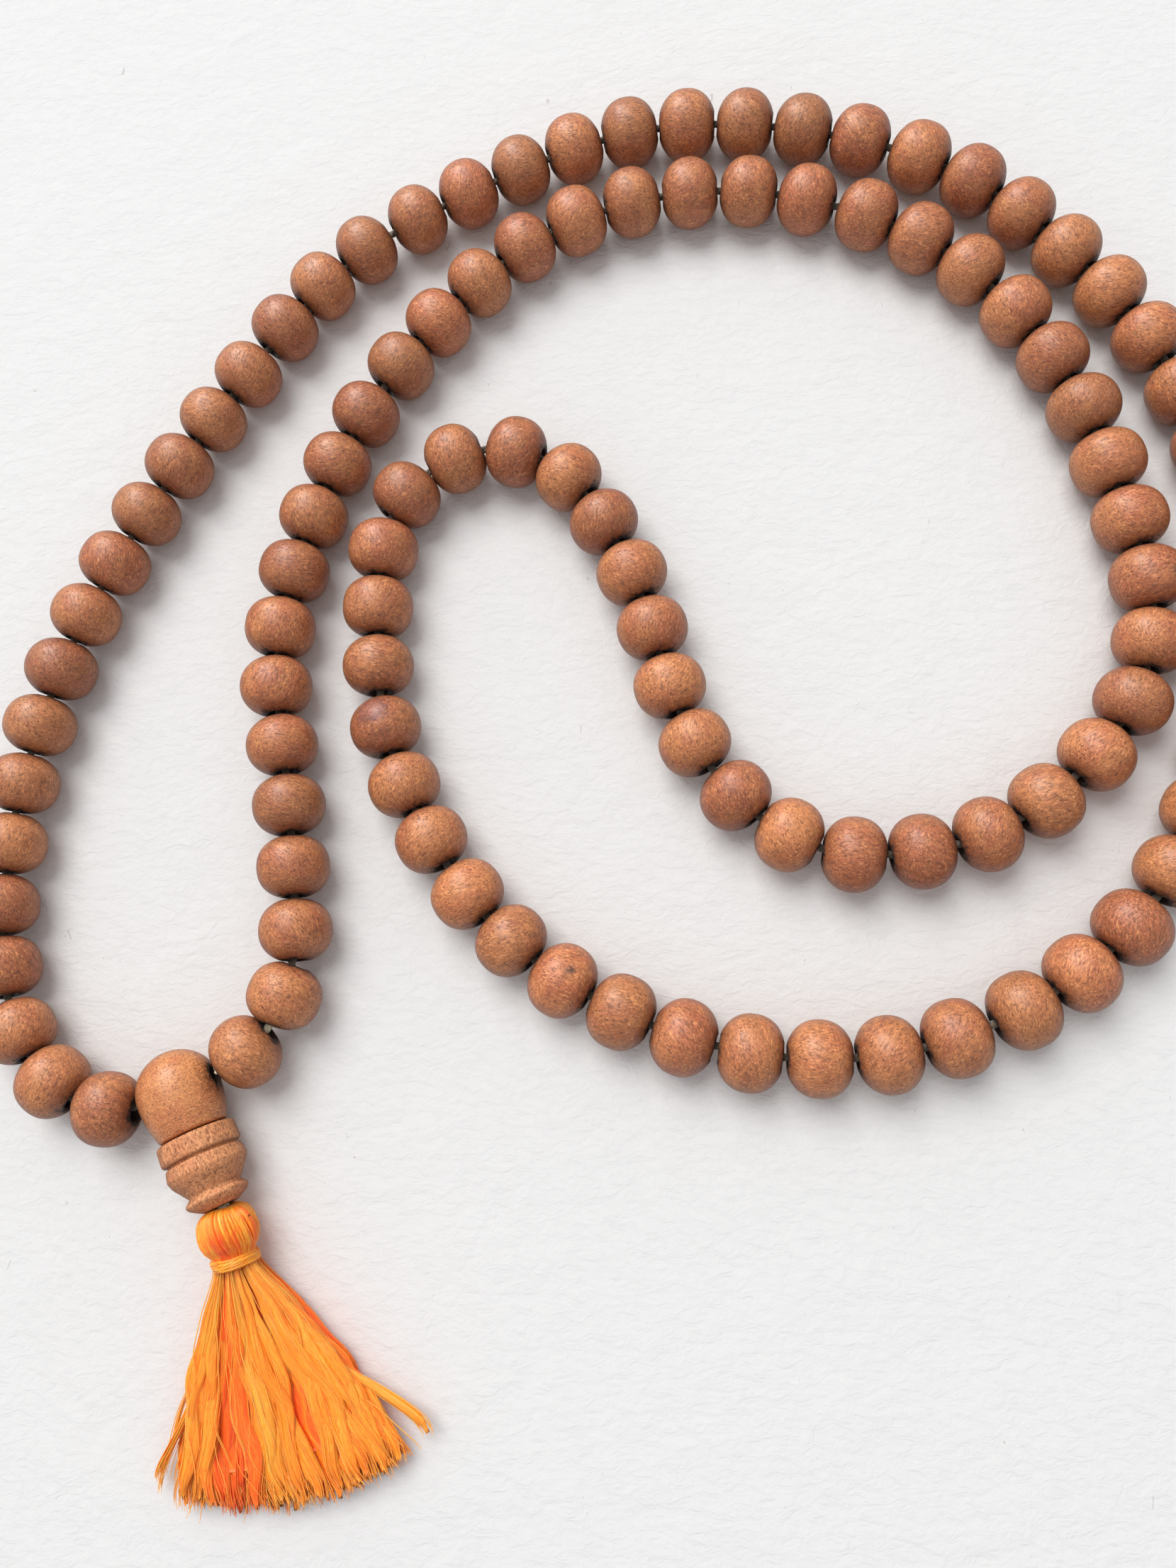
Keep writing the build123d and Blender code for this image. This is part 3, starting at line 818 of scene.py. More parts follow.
@dataclass(frozen=True)
class Bead:
    """One small turned bead: a flattened ball whose worn ends meet its drilled hole."""

    radius: float = 3.86
    half: float = 3.36
    end_radius: float = 1.42
    bore: float = 0.92
    lip: float = 0.30
    fullness: float = 2.22
    rows: int = 25
    around: int = 52

    def profile(self, fullness: float) -> np.ndarray:
        """The bead's closed outline.

        Args:
            fullness: 2 for an ellipse, and more for squarer shoulders.

        Returns:
            Rows of distance from the axis and place along it.
        """
        end = self.half * (1 - (self.end_radius / self.radius) ** fullness) ** (1 / fullness)
        reach = math.atan2(end, self.end_radius)
        angle = np.linspace(-reach, reach, self.rows)
        size = (np.abs(np.cos(angle) / self.radius) ** fullness
                + np.abs(np.sin(angle) / self.half) ** fullness) ** (-1 / fullness)
        outside = np.column_stack([size * np.cos(angle), size * np.sin(angle)])
        lip = np.array([(self.end_radius - 0.14, end - 0.015), (self.bore + 0.14, end - 0.09),
                        (self.bore, end - self.lip), (self.bore * 0.97, end * 0.5)])
        return np.concatenate([outside, lip, lip[::-1] * (1, -1)])

    def add(self, stock: Stock, place: BeadPlace, rng: np.random.Generator, mark: Mark | None) -> None:
        """Adds the bead at its place, a little uneven as hand turning leaves it.

        Args:
            stock: What it is added to.
            place: Where it sits.
            rng: Gives its unevenness, its grain and its tone.
            mark: Its blemish, if it has one.
        """
        outline = self.profile(self.fullness + rng.uniform(-0.10, 0.12))
        turn = np.arange(self.around) * 2 * math.pi / self.around
        wave = rng.uniform(0, 2 * math.pi, 6)
        oval = (1 + 0.006 * np.sin(2 * turn + wave[0]) + 0.003 * np.sin(3 * turn + wave[1]))[None, :]
        z = np.repeat(outline[:, 1:], self.around, 1)
        dent = 0.004 * np.sin(1.1 * z + wave[2]) * np.sin(turn + wave[3])[None, :]
        worn = np.clip((np.abs(z) - 2.6) / 0.6, 0, 1) * 0.03 * np.sin(4 * turn + wave[4])[None, :]
        radius = outline[:, :1] * (oval + dent) * rng.uniform(0.985, 1.0)
        z = z * rng.uniform(0.985, 1.0) * (1 + worn * 0.2)
        side = unit(np.cross(place.axis, (0.0, 0.0, 1.0)))
        up = np.cross(side, place.axis)
        flat = np.cos(turn)[:, None] * side + np.sin(turn)[:, None] * up
        offset = radius[..., None] * flat[None] + z[..., None] * place.axis
        points = place.centre + offset
        points[..., 2] = np.maximum(points[..., 2], 0.0)

        lean = rng.normal(0, 0.35, 3)
        grain_z = unit(place.axis * rng.choice([1.0, 0.25]) + side * rng.uniform(-1, 1) + up * lean[0] * 0.5)
        grain_x = unit(np.cross(grain_z, up + 0.1 * side))
        timber = np.stack([grain_x, np.cross(grain_z, grain_x), grain_z])
        grain = offset @ timber.T + rng.uniform(-400, 400, 3)
        outer = np.arange(len(outline)) < self.rows
        hole = np.where(outer[:, None], radius - self.end_radius * 0.86 - (3.4 - np.abs(z)) * 0.35, -0.6)
        hole = np.where(outer[:, None], np.maximum(hole, radius * 0.5 - 0.75), hole)
        tone = (np.clip(rng.normal(0.46, 0.30), 0, 1), float(np.clip(rng.normal(0.95, 0.085), 0.76, 1.12)),
                float(rng.choice([0.15, 0.3, 0.9], p=[0.55, 0.28, 0.17])))
        spot = np.full(offset.shape, 50.0)
        spot[..., 2] = 0.0
        if mark is not None:
            toward = unit(np.array(mark.toward))
            east = unit(np.cross((0.0, 1.0, 0.0), toward))
            north = np.cross(toward, east)
            swing = math.radians(mark.turn)
            right = east * math.cos(swing) + north * math.sin(swing)
            front = (unit(offset) @ toward > 0)[..., None]
            flat_spot = np.stack([offset @ right, offset @ np.cross(toward, right), np.zeros(z.shape)], -1)
            spot = np.where(front, flat_spot, spot)
            spot[..., 2] = mark.kind.value
        faces = [ring_faces(len(outline), self.around, closed=True)]
        count = z.size
        stock.add(points.reshape(-1, 3), faces, grain=grain.reshape(-1, 3), hole=hole.reshape(-1),
                  tone=np.tile(tone, (count, 1)), mark=spot.reshape(-1, 3))


@dataclass(frozen=True)
class BeadStrand:
    """The 108 small beads, three to a piece as the CAD makes them."""

    bead: Bead = Bead()
    marks: tuple[tuple[int, Mark], ...] = (
        (52, Mark(Blemish.STAIN, (0.32, 0.22, 0.92), 20.0)),
        (57, Mark(Blemish.KNOT, (-0.20, 0.30, 0.93), 10.0)),
        (55, Mark(Blemish.DASH, (-0.15, 0.45, 0.88), 28.0)),
        (79, Mark(Blemish.PIT, (0.55, -0.20, 0.80), -35.0)),
    )

    def build(self, line: np.ndarray) -> int:
        """Makes each piece on its own body.

        Args:
            line: The strand's line, which gives the beads' order.

        Returns:
            How many beads were made.
        """
        finder, bodies = BeadFinder(line), node_bodies()
        finish = WoodFinish("bead_wood").build(Grain())
        marks, made = dict(self.marks), 0
        for node in sorted(name for name in frame["nodes"] if name.startswith("beads_")):
            stock = Stock()
            for place in finder.places(node):
                rng = np.random.default_rng((SEED, place.number))
                self.bead.add(stock, place, rng, marks.get(place.number))
                made += 1
            stock.make("wood_" + node, finish, bodies[node], Slot.BEAD, (node,))
        return made


@dataclass(frozen=True)
class Pendant:
    """Where the guru bead, tower bead and tassel hang, in millimetres in the part's frame."""

    guru: tuple[float, float, float] = (-44.047, -35.819, 4.25)
    out: tuple[float, float, float] = (0.42635, -0.90456, 0.0)
    across: tuple[float, float, float] = (-0.90456, -0.42635, 0.0)
    knot_down: float = 12.55
    heading: float = 16.0
    drop: float = 7.0

    def knot(self) -> np.ndarray:
        """The knot's middle, where the tassel hangs."""
        return np.array(self.guru) + np.array(self.out) * self.knot_down

    def level(self) -> np.ndarray:
        """The tassel's direction along the table."""
        swing = math.radians(self.heading)
        return np.array((math.sin(swing), -math.cos(swing), 0.0))

    def fall(self) -> np.ndarray:
        """The direction of the tassel's head and neck."""
        tilt = math.radians(self.drop)
        return self.level() * math.cos(tilt) + np.array((0.0, 0.0, -math.sin(tilt)))

    def side(self) -> np.ndarray:
        """Across the tassel, to the right of it as it lies."""
        swing = math.radians(self.heading)
        return np.array((math.cos(swing), math.sin(swing), 0.0))


@dataclass(frozen=True)
class GuruBead:
    """The larger bead keeps its CAD shape, with its three bored holes, and gets a smooth waxed finish."""

    pendant: Pendant = Pendant()
    finish: WoodFinish = WoodFinish("guru_wood", tan=(0.53, 0.205, 0.070), red=(0.45, 0.145, 0.052),
                                    flecks=0.42, roughness=0.47, varnish=0.22, relief=0.028, grime_and_shade_reach=0.5)

    def build(self) -> None:
        """Dresses the CAD bead."""
        turn = math.atan2(self.pendant.across[1], self.pendant.across[0])
        grain = CadGrain(Vector(self.pendant.guru) * MM, (0.0, 0.0, turn), (0.38, 1.0, 0.25))
        piece = frame["nodes"]["guru_bead"]
        material = self.finish.build(grain)
        for slot in piece.material_slots:
            slot.material = material
        if not piece.material_slots:
            raise RuntimeError("the guru bead has no material slot")


@dataclass(frozen=True)
class TowerBead:
    """The stepped tower bead, turned across a soft timber whose fibres tear a little under the tool."""

    pendant: Pendant = Pendant()
    outline: tuple[tuple[float, float], ...] = (
        (4.62, 0.95), (4.62, 3.72), (4.85, 3.98), (6.55, 4.05), (6.78, 3.84), (6.80, 3.52), (7.00, 3.50),
        (7.03, 3.74), (7.20, 3.86), (8.20, 4.07), (8.82, 3.82), (10.42, 2.66), (10.52, 2.62), (10.66, 2.78),
        (11.02, 3.18), (11.26, 3.20), (11.62, 2.92), (12.28, 1.78), (12.32, 0.98),
    )
    around: int = 300
    step: float = 0.13
    timber: tuple[float, float, float] = (60.0, 20.0, -30.0)
    finish: WoodFinish = WoodFinish("tower_wood", tan=(0.56, 0.235, 0.098), red=(0.47, 0.165, 0.066),
                                    fleck=(0.72, 0.36, 0.17), roughness=0.66, varnish=0.04, relief=0.075,
                                    flecks=0.50, grime_and_shade_reach=0.25)

    def build(self) -> None:
        """Makes the tower bead on its own body."""
        outline = self._resampled()
        turn = np.arange(self.around) * 2 * math.pi / self.around
        along, radius = np.repeat(outline[:, :1], self.around, 1), np.repeat(outline[:, 1:], self.around, 1)
        tears = np.zeros_like(along)
        for i, (t, r) in enumerate(outline):
            for j, angle in enumerate(turn):
                if r < 1.2:
                    continue
                x, y = math.cos(angle), math.sin(angle)
                mark = noise.noise(Vector((x * r * 2.6, y * r * 2.6, t * 0.55)))
                slow = noise.noise(Vector((x * r * 0.55 + 9.0, y * r * 0.55, t * 0.5)))
                chip = noise.noise(Vector((x * r * 1.3, y * r * 1.3 + 5.0, t * 1.4)))
                tears[i, j] = 0.050 * min(mark, 0.15) + 0.055 * slow - 0.20 * max(chip - 0.42, 0.0)
        radius = radius + tears
        across, up = np.array(self.pendant.across), np.array((0.0, 0.0, 1.0))
        out = np.array(self.pendant.out)
        flat = np.cos(turn)[:, None] * across + np.sin(turn)[:, None] * up
        offset = radius[..., None] * flat[None] + along[..., None] * out
        points = np.array(self.pendant.guru) + offset
        points[..., 2] = np.maximum(points[..., 2], 0.02)
        grain = np.stack([offset @ across, offset @ up, offset @ out], -1).reshape(-1, 3) + self.timber
        count = along.size
        hole = np.where(along < 11.9, 3.0, radius - 1.1).reshape(-1)
        tone = np.tile((0.35, 1.0, 0.35), (count, 1))
        mark = np.tile((50.0, 50.0, 0.0), (count, 1))
        stock = Stock()
        faces = [ring_faces(len(outline), self.around, closed=True)]
        stock.add(points.reshape(-1, 3), faces, grain=grain, hole=hole, tone=tone, mark=mark)
        stock.make("tower_turning", self.finish.build(Grain()), "tower", Slot.TOWER, ("tower_bead",))

    def _resampled(self) -> np.ndarray:
        """The outline with points close enough to carry tool marks, its corners a little worn."""
        corners = np.array(self.outline)
        rows = []
        for start, end in zip(corners[:-1], corners[1:]):
            pieces = max(1, round(float(np.linalg.norm(end - start)) / self.step))
            rows += [start + (end - start) * i / pieces for i in range(pieces)]
        rows = np.array(rows + [corners[-1]])
        rows[1:-1] = rows[1:-1] * 0.5 + (rows[:-2] + rows[2:]) * 0.25
        return rows


@dataclass(frozen=True)
class PendantThread:
    """The two strand ends side by side down through both large beads, and the knot that holds them."""

    pendant: Pendant = Pendant()
    thread: Thread = Thread(plies=2, lay_radius=0.20, ply_radius=0.20, pitch=1.9)
    knot_radius: float = 0.42
    knot_tube: float = 0.24
    start: float = 0.2

    def build(self, finish: bpy.types.Material) -> None:
        """Makes the thread on the guru's body and the knot on its own."""
        guru, out, knot = np.array(self.pendant.guru), np.array(self.pendant.out), self.pendant.knot()
        ends = np.array([guru + out * d for d in (self.start, 4.2, 8.0, self.pendant.knot_down - 0.5)]) * MM
        stock = Stock()
        self.thread.add(stock, spline_line("pendant_route", ends, 40), 5.0, (0.0, 0.0, 1.0))
        stock.make("thread_pendant", finish, "guru", Slot.THREAD, ("pendant_cord",))

        side = np.array(self.pendant.across)
        t = np.linspace(0, 2 * math.pi, 72)
        wide = self.knot_radius * (1 + 0.42 * np.cos(3 * t))
        line = (knot + (wide * np.cos(2 * t))[:, None] * side + (wide * np.sin(2 * t))[:, None] * (0, 0, 1)
                + (0.30 * np.sin(3 * t))[:, None] * out)
        points, faces = filaments(line[None], np.full((1, len(t)), self.knot_tube), 8,
                                  tuple(out + 0.3 * side))
        told = np.zeros((len(points), 3))
        told[:, 0] = np.repeat(t, 8)
        told[:, 2] = 1.0
        stock = Stock()
        stock.add(points, faces, silk=told)
        stock.make("thread_knot", finish, "knot", Slot.THREAD, ("pendant_knot",))


@dataclass(frozen=True)
class Lock:
    """One lock of the tassel's silk: where its end lies and how it hangs there."""

    side: float
    layer: float
    length: float
    filaments: int
    spread: float
    tone: float
    fray: float = 0.0
    bundled: bool = True
    # How much redder the lock is painted lower down: painted shade in the skirt's hollows.
    hollow_shade: float = 0.0

    def shade(self, t: np.ndarray) -> np.ndarray:
        """The silk's tone along the lock: palest by the neck, and redder lower down where it lies in a hollow,
        which is painted shade.
        """
        return self.tone + 0.08 * ease(-t, -0.3, 0.0) - self.hollow_shade * ease(t, 0.22, 0.62)


@dataclass(frozen=True)
class Tassel:
    """The silk tassel: a head of folded silk, a wound neck and a flared skirt of loose locks."""

    pendant: Pendant = Pendant()
    skirt: tuple[tuple[float, ...], ...] = (
        (4.4, 1.75, 1.75, 3.66), (5.6, 1.95, 1.95, 3.52), (7.2, 2.75, 2.35, 3.30), (9.0, 3.9, 2.6, 3.05),
        (14.5, 6.7, 2.45, 2.68), (21.5, 9.6, 2.05, 2.22), (28.5, 11.6, 1.7, 1.86), (31.0, 12.4, 1.6, 1.75),
    )
    head: tuple[tuple[float, ...], ...] = (
        (0.0, 0.10, 0.30), (0.10, -0.02, 1.15), (0.25, 0.35, 2.15), (0.42, 1.25, 2.74), (0.58, 2.35, 2.88),
        (0.74, 3.45, 2.62), (0.88, 4.25, 2.10), (1.0, 5.1, 1.88),
    )
    layers: tuple[tuple[float, int, float], ...] = (
        (-0.80, 24, 0.60), (-0.30, 30, 0.58), (0.20, 30, 0.60), (0.62, 30, 0.62),
    )
    windings: tuple[tuple[float, ...], ...] = ((4.62, 5.62, 5.0, 2.14), (4.75, 5.45, 3.0, 2.30))
    body_sides: tuple[float, float] = (-9.9, 11.2)
    hollows: tuple[tuple[float, float, float], ...] = ((-5.0, 2.3, 1.0), (3.9, 0.9, 0.8))
    parted: float = 0.45
    loose_locks: int = 16
    neck: float = 4.9
    points: int = 34
    bundle_sides: int = 24
    finish: SilkFinish = SilkFinish("silk")
    strays: tuple[Lock, ...] = (
        Lock(14.2, 0.30, 29.2, 12, 0.52, 0.74, 0.2),
        Lock(12.1, 0.10, 29.4, 10, 0.55, 0.66, 0.4),
        Lock(-12.3, 0.15, 26.8, 14, 0.50, 0.70, 1.2, False),
        Lock(-11.9, -0.10, 25.6, 14, 0.44, 0.66, 0.7),
    )

    def build(self) -> int:
        """Makes the tassel's pieces on its body.

        Returns:
            How many silk filaments the skirt has.
        """
        silk = self.finish.build()
        self._build_head(silk)
        self._build_neck(silk)
        self._build_tie(silk)
        return self._build_skirt(silk)

    def _build_head(self, silk: bpy.types.Material) -> None:
        """The folded silk: filaments that come up through the middle and loop down to the neck."""
        rng = np.random.default_rng((SEED, 1))
        knot, fall, side = self.pendant.knot(), self.pendant.fall(), self.pendant.side()
        over = np.cross(side, fall)
        over = over * np.sign(over[2])
        t = np.linspace(0, 1, 30)
        s, r = smooth_row(self.head, t).T
        stock = Stock()
        count = 118
        turn = (np.arange(count) + rng.uniform(-0.3, 0.3, count)) * 2 * math.pi / count
        twist = rng.normal(0, 0.10, count)[:, None] * np.sin(t * math.pi)[None] + 0.10 * np.sin(t * 5)[None]
        angle = turn[:, None] + twist + 0.05 * np.sin(turn * 3)[:, None]
        lift = rng.uniform(-0.10, 0.06, count)[:, None] * np.sin(t * math.pi)[None]
        bulge = 1 + 0.035 * np.sin(2 * turn + 0.6)[:, None] + 0.02 * np.sin(5 * turn)[:, None]
        reach = r[None] * bulge + lift
        sag = s[None] + 0.18 * np.sin(turn * 2 + 1.0)[:, None] * np.sin(t * math.pi)[None]
        flat = np.cos(angle)[..., None] * side + np.sin(angle)[..., None] * over
        paths = knot + reach[..., None] * flat + sag[..., None] * fall
        radii = np.tile(0.135 + 0.05 * np.sin(t * math.pi), (count, 1)) * rng.uniform(0.85, 1.15, (count, 1))
        # Darker red over the middle of the head's lower half, toward the neck: painted shade.
        shade = rng.normal(0.62, 0.10, count)[:, None] - 0.45 * ease(t, 0.40, 0.72)[None] * (
            np.sin(angle) > -0.4) * np.exp(-(np.cos(angle) / 0.55) ** 2)
        self._add(stock, paths, radii, 6, shade, rng, tuple(fall + 0.35 * side))

        rings = 40
        core_turn = np.arange(rings) * 2 * math.pi / rings
        flat = np.cos(core_turn)[:, None] * side + np.sin(core_turn)[:, None] * over
        inner = np.maximum(r - 0.10, 0.02)
        points = knot + inner[:, None, None] * flat[None] + s[:, None, None] * fall
        told = np.zeros((len(t), rings, 3))
        # The core under the filaments gets a deep red tone: painted shade where it shows between them.
        told[..., 0], told[..., 1], told[..., 2] = s[:, None], core_turn[None], 0.12
        caps = [np.arange(rings)[None], (len(t) - 1) * rings + np.arange(rings)[::-1][None]]
        stock.add(points.reshape(-1, 3), [ring_faces(len(t), rings), *caps], silk=told.reshape(-1, 3))
        stock.make("silk_head", silk, "tassel", Slot.SILK, ("tassel_head",))

    def _build_neck(self, silk: bpy.types.Material) -> None:
        """The band: one thread wound round the neck in uneven turns, with its end tucked in."""
        rng = np.random.default_rng((SEED, 2))
        knot, fall, side = self.pendant.knot(), self.pendant.fall(), self.pendant.side()
        over = np.cross(side, fall)
        over = over * np.sign(over[2])
        stock = Stock()
        for layer, (start, end, turns, radius) in enumerate(self.windings):
            t = np.linspace(0, 1, int(turns * 44))
            angle = t * turns * 2 * math.pi + layer * 2.0
            along = start + (end - start) * t + 0.10 * np.sin(angle + 0.8) + 0.03 * np.sin(5.3 * angle)
            reach = radius + 0.03 * np.sin(2.7 * angle + 1.0)
            flat = np.cos(angle)[:, None] * side + np.sin(angle)[:, None] * over
            middle = knot + along[:, None] * fall + reach[:, None] * flat
            plies = []
            for ply in range(4):
                phase = angle * 4.0 + ply * math.pi / 2
                plies.append(middle + 0.085 * (np.cos(phase)[:, None] * flat + np.sin(phase)[:, None] * fall))
            paths = np.stack(plies)
            self._add(stock, paths, np.full(paths.shape[:2], 0.088), 6,
                      np.full(paths.shape[:2], 0.66 + 0.04 * layer),
                      rng, tuple(fall))
        stock.make("silk_neck_band", silk, "tassel", Slot.SILK, ("tassel_neck_band",))

    def _build_tie(self, silk: bpy.types.Material) -> None:
        """The tie inside the head that the silk is folded over."""
        knot, fall = self.pendant.knot(), self.pendant.fall()
        ends = np.array([knot + fall * d for d in (0.35, 1.2, 2.1, 3.0)]) * MM
        stock = Stock()
        tie = Thread(plies=2, lay_radius=0.2, ply_radius=0.2)
        tie.add(stock, spline_line("tie_route", ends, 12), 9.0, (0, 0, 1))
        stock.make("silk_tie", silk, "tassel", Slot.SILK_DEEP, ("tassel_tie",))

    def _build_skirt(self, silk: bpy.types.Material) -> int:
        """The skirt's locks, its stray locks and its loose filaments.

        Args:
            silk: The silk's material.

        Returns:
            How many filaments it has.
        """
        rng = np.random.default_rng((SEED, 3))
        stock, made = Stock(), 0
        for lock in [*self._even_locks(rng), *self.strays]:
            made += self._add_lock(stock, lock, rng)
        made += self._add_loose(stock, rng)
        self._add_core(stock)
        stock.make("silk_skirt", silk, "tassel", Slot.SILK, ("tassel_skirt",))
        return made

    def _even_locks(self, rng: np.random.Generator) -> list[Lock]:
        """The locks of the skirt's body, layer by layer from the table up."""
        found = []
        for layer, count, spread in self.layers:
            for side in np.linspace(*self.body_sides, count) + rng.normal(0, 0.22, count):
                deep = sum(much * math.exp(-((side - at) / wide) ** 2) for at, wide, much in self.hollows)
                if layer > 0.5 and deep > self.parted:
                    continue
                # Locks in lower layers get a darker, redder tone: painted shade under the locks above them.
                tone = 0.56 + 0.17 * layer + float(rng.normal(0, 0.08))
                length = 28.2 + 0.10 * side + float(rng.normal(0, 0.35)) - (0.3 if layer > 0.5 else 0.0)
                # Locks that lie in the skirt's hollows are painted redder down their length: painted shade.
                found.append(Lock(float(side), layer + float(rng.normal(0, 0.08)), length, 15,
                                  spread * float(rng.uniform(0.8, 1.25)), tone, float(rng.uniform(0.1, 0.4)),
                                  hollow_shade=0.42 * min(deep, 1.0)))
        return found

    def _add_lock(self, stock: Stock, lock: Lock, rng: np.random.Generator) -> int:
        """Adds one lock: a smooth fluted bundle with single filaments that wander over it.

        Args:
            stock: What it is added to.
            lock: The lock.
            rng: Gives its wander.

        Returns:
            How many single filaments it has.
        """
        t = np.linspace(0, 1, self.points)[None]
        end_s = math.sqrt(max(lock.length**2 - lock.side**2, 1.0))
        end_wide = float(smooth_row(self.skirt, np.array([end_s]))[0, 0])
        share = lock.side / end_wide
        wave, phase = rng.uniform(9.0, 16.0, 2), rng.uniform(0, 2 * math.pi, 4)

        def middle(s: np.ndarray) -> tuple[np.ndarray, np.ndarray, np.ndarray]:
            """The lock's middle at each distance: sideways, its depth, and the skirt's height."""
            wide, thick, height = np.moveaxis(smooth_row(self.skirt, s), -1, 0)
            start = np.clip(share, -0.92, 0.92)
            flare = start + (share - start) * ease(t, 0.45, 1.0)
            room = np.sqrt(np.maximum(1 - (0.88 * np.clip(flare, -1, 1)) ** 2, 0.10))
            swell = 0.42 * ease(t, 0.10, 0.55)
            lean = swell * np.sin(2 * math.pi * s / wave[0] + phase[0])
            lean = lean + 0.10 * ease(t, 0.1, 0.3) * np.sin(2 * math.pi * s / 5.1 + phase[1])
            bob = 0.45 * swell * np.sin(2 * math.pi * s / wave[1] + phase[2])
            return flare * wide + lean, lock.layer * room * thick + bob, height

        gather = 0.34 + 0.66 * ease(t, 0.0, 0.62)
        if lock.bundled:
            self._add_bundle(stock, lock, middle, gather, rng)
        count = lock.filaments
        ends = end_s + rng.normal(0, 0.22 + 0.10 * lock.fray, (count, 1)) + 0.12
        s = self.neck + (ends - self.neck) * t
        sideways, depth, height = middle(s)
        turn = rng.uniform(0, 2 * math.pi, (count, 1))
        out = (0.72 + 0.36 * rng.uniform(0, 1, (count, 1))) * lock.spread
        apart = gather + lock.fray * 0.5 * ease(t, 0.72, 1.0)
        rove = turn + 0.9 * np.sin(s * 0.22 + phase[3])
        sideways = sideways + out * apart * np.cos(rove) * 1.20
        depth = depth + out * apart * np.sin(rove) * 0.62
        radii = (0.050 + 0.015 * rng.uniform(-1, 1, (count, 1))) * (1 - 0.6 * ease(t, 0.95, 1.0))
        z = np.maximum(height + depth - 0.4 * lock.fray * ease(t, 0.5, 1.0), radii + 0.03)
        shade = lock.shade(t) + 0.03 + rng.normal(0, 0.09, (count, 1))
        self._add(stock, self._laid(s, sideways, z), radii, 3, shade, rng, (0.0, 0.0, 1.0))
        return count

    def _add_bundle(self, stock: Stock, lock: Lock, middle: Callable, gather: np.ndarray,
                    rng: np.random.Generator) -> None:
        """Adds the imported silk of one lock, an oval bundle with fine flutes that thins to a brush at its end.

        Args:
            stock: What it is added to.
            lock: The lock.
            middle: Gives the lock's middle at each distance.
            gather: How far the lock has opened, along it.
            rng: Gives its flutes.
        """
        t = np.linspace(0, 1, self.points)[None]
        end_s = math.sqrt(max(lock.length**2 - lock.side**2, 1.0)) - 0.15
        s = self.neck + (end_s - self.neck) * t
        sideways, depth, height = middle(s)
        turn = np.arange(self.bundle_sides) * 2 * math.pi / self.bundle_sides
        flutes = 1 + 0.07 * np.sin(5 * turn + rng.uniform(0, 6)) + 0.10 * rng.uniform(-1, 1, len(turn))
        flutes = flutes * (1 - 0.72 * ease(t[0], 0.90, 1.0))[:, None]
        size = (lock.spread * gather * (1 - 0.35 * lock.fray * ease(t, 0.55, 1.0)))[0][:, None] * flutes
        roll = turn[None] + (0.5 * np.sin(s[0] * 0.2 + rng.uniform(0, 6)))[:, None]
        brush = 1 - 0.30 * ease(t[0], 0.93, 1.0)
        x = sideways[0][:, None] + size * np.cos(roll) * 1.15
        z = height[0][:, None] + depth[0][:, None] + size * np.sin(roll) * 0.62 * brush[:, None]
        z = np.maximum(z - 0.4 * lock.fray * ease(t[0], 0.5, 1.0)[:, None], 0.03)
        ragged = 0.30 * rng.uniform(-1, 1, len(turn)) * ease(t[0], 0.9, 1.0)[:, None]
        points = self._laid(s[0][:, None] + ragged, x, z)
        told = np.zeros(points.shape)
        told[..., 0] = s[0][:, None] + rng.uniform(0, 90)
        told[..., 1] = rng.uniform(0, 9) + np.abs(np.arange(self.bundle_sides) - self.bundle_sides / 2) * 0.05
        told[..., 2] = lock.shade(t[0])[:, None] - 0.05 + rng.normal(0, 0.06, len(turn))
        last = (self.points - 1) * self.bundle_sides
        caps = [np.arange(self.bundle_sides)[None], last + np.arange(self.bundle_sides)[::-1][None]]
        stock.add(points.reshape(-1, 3), [ring_faces(self.points, self.bundle_sides), *caps],
                  silk=told.reshape(-1, 3))

    def _laid(self, s: np.ndarray, sideways: np.ndarray, z: np.ndarray) -> np.ndarray:
        """Points of the skirt from their distance down it, across it and above the table."""
        knot = self.pendant.knot()
        return (np.array((knot[0], knot[1], 0.0)) + s[..., None] * self.pendant.level()
                + sideways[..., None] * self.pendant.side() + z[..., None] * np.array((0.0, 0.0, 1.0)))

    def _add_loose(self, stock: Stock, rng: np.random.Generator) -> int:
        """Single filaments that stand off the skirt's outline and cross its locks."""
        count = 0
        for _ in range(self.loose_locks):
            side = float(rng.uniform(-11.6, 12.2))
            lock = Lock(side, float(rng.uniform(0.5, 1.0)), 28.3 + 0.1 * side + float(rng.normal(0, 0.6)), 2,
                        float(rng.uniform(0.5, 0.9)), float(rng.uniform(0.6, 0.9)), 0.8, False)
            count += self._add_lock(stock, lock, rng)
        return count

    def _add_core(self, stock: Stock) -> None:
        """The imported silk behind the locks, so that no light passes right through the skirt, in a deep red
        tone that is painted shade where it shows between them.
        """
        s = np.linspace(self.neck, 24.5, 44)
        wide, thick, height = smooth_row(self.skirt, s).T
        turn = np.arange(48) * 2 * math.pi / 48
        ripple = 1 + 0.05 * np.sin(9 * turn) + 0.04 * np.sin(14 * turn + 1.0)
        sideways = (0.78 * wide)[:, None] * np.cos(turn) * ripple
        drop = (0.45 * thick)[:, None] * np.sin(turn) * ripple
        curved = s[:, None] - (0.30 * (sideways / 10.0) ** 2 * (s / 26.4)[:, None] * 6.0)
        z = np.maximum(height[:, None] + drop, 0.05)
        knot = self.pendant.knot()
        points = (np.array((knot[0], knot[1], 0.0)) + curved[..., None] * self.pendant.level()
                  + sideways[..., None] * self.pendant.side() + z[..., None] * np.array((0.0, 0.0, 1.0)))
        told = np.zeros((*points.shape[:2], 3))
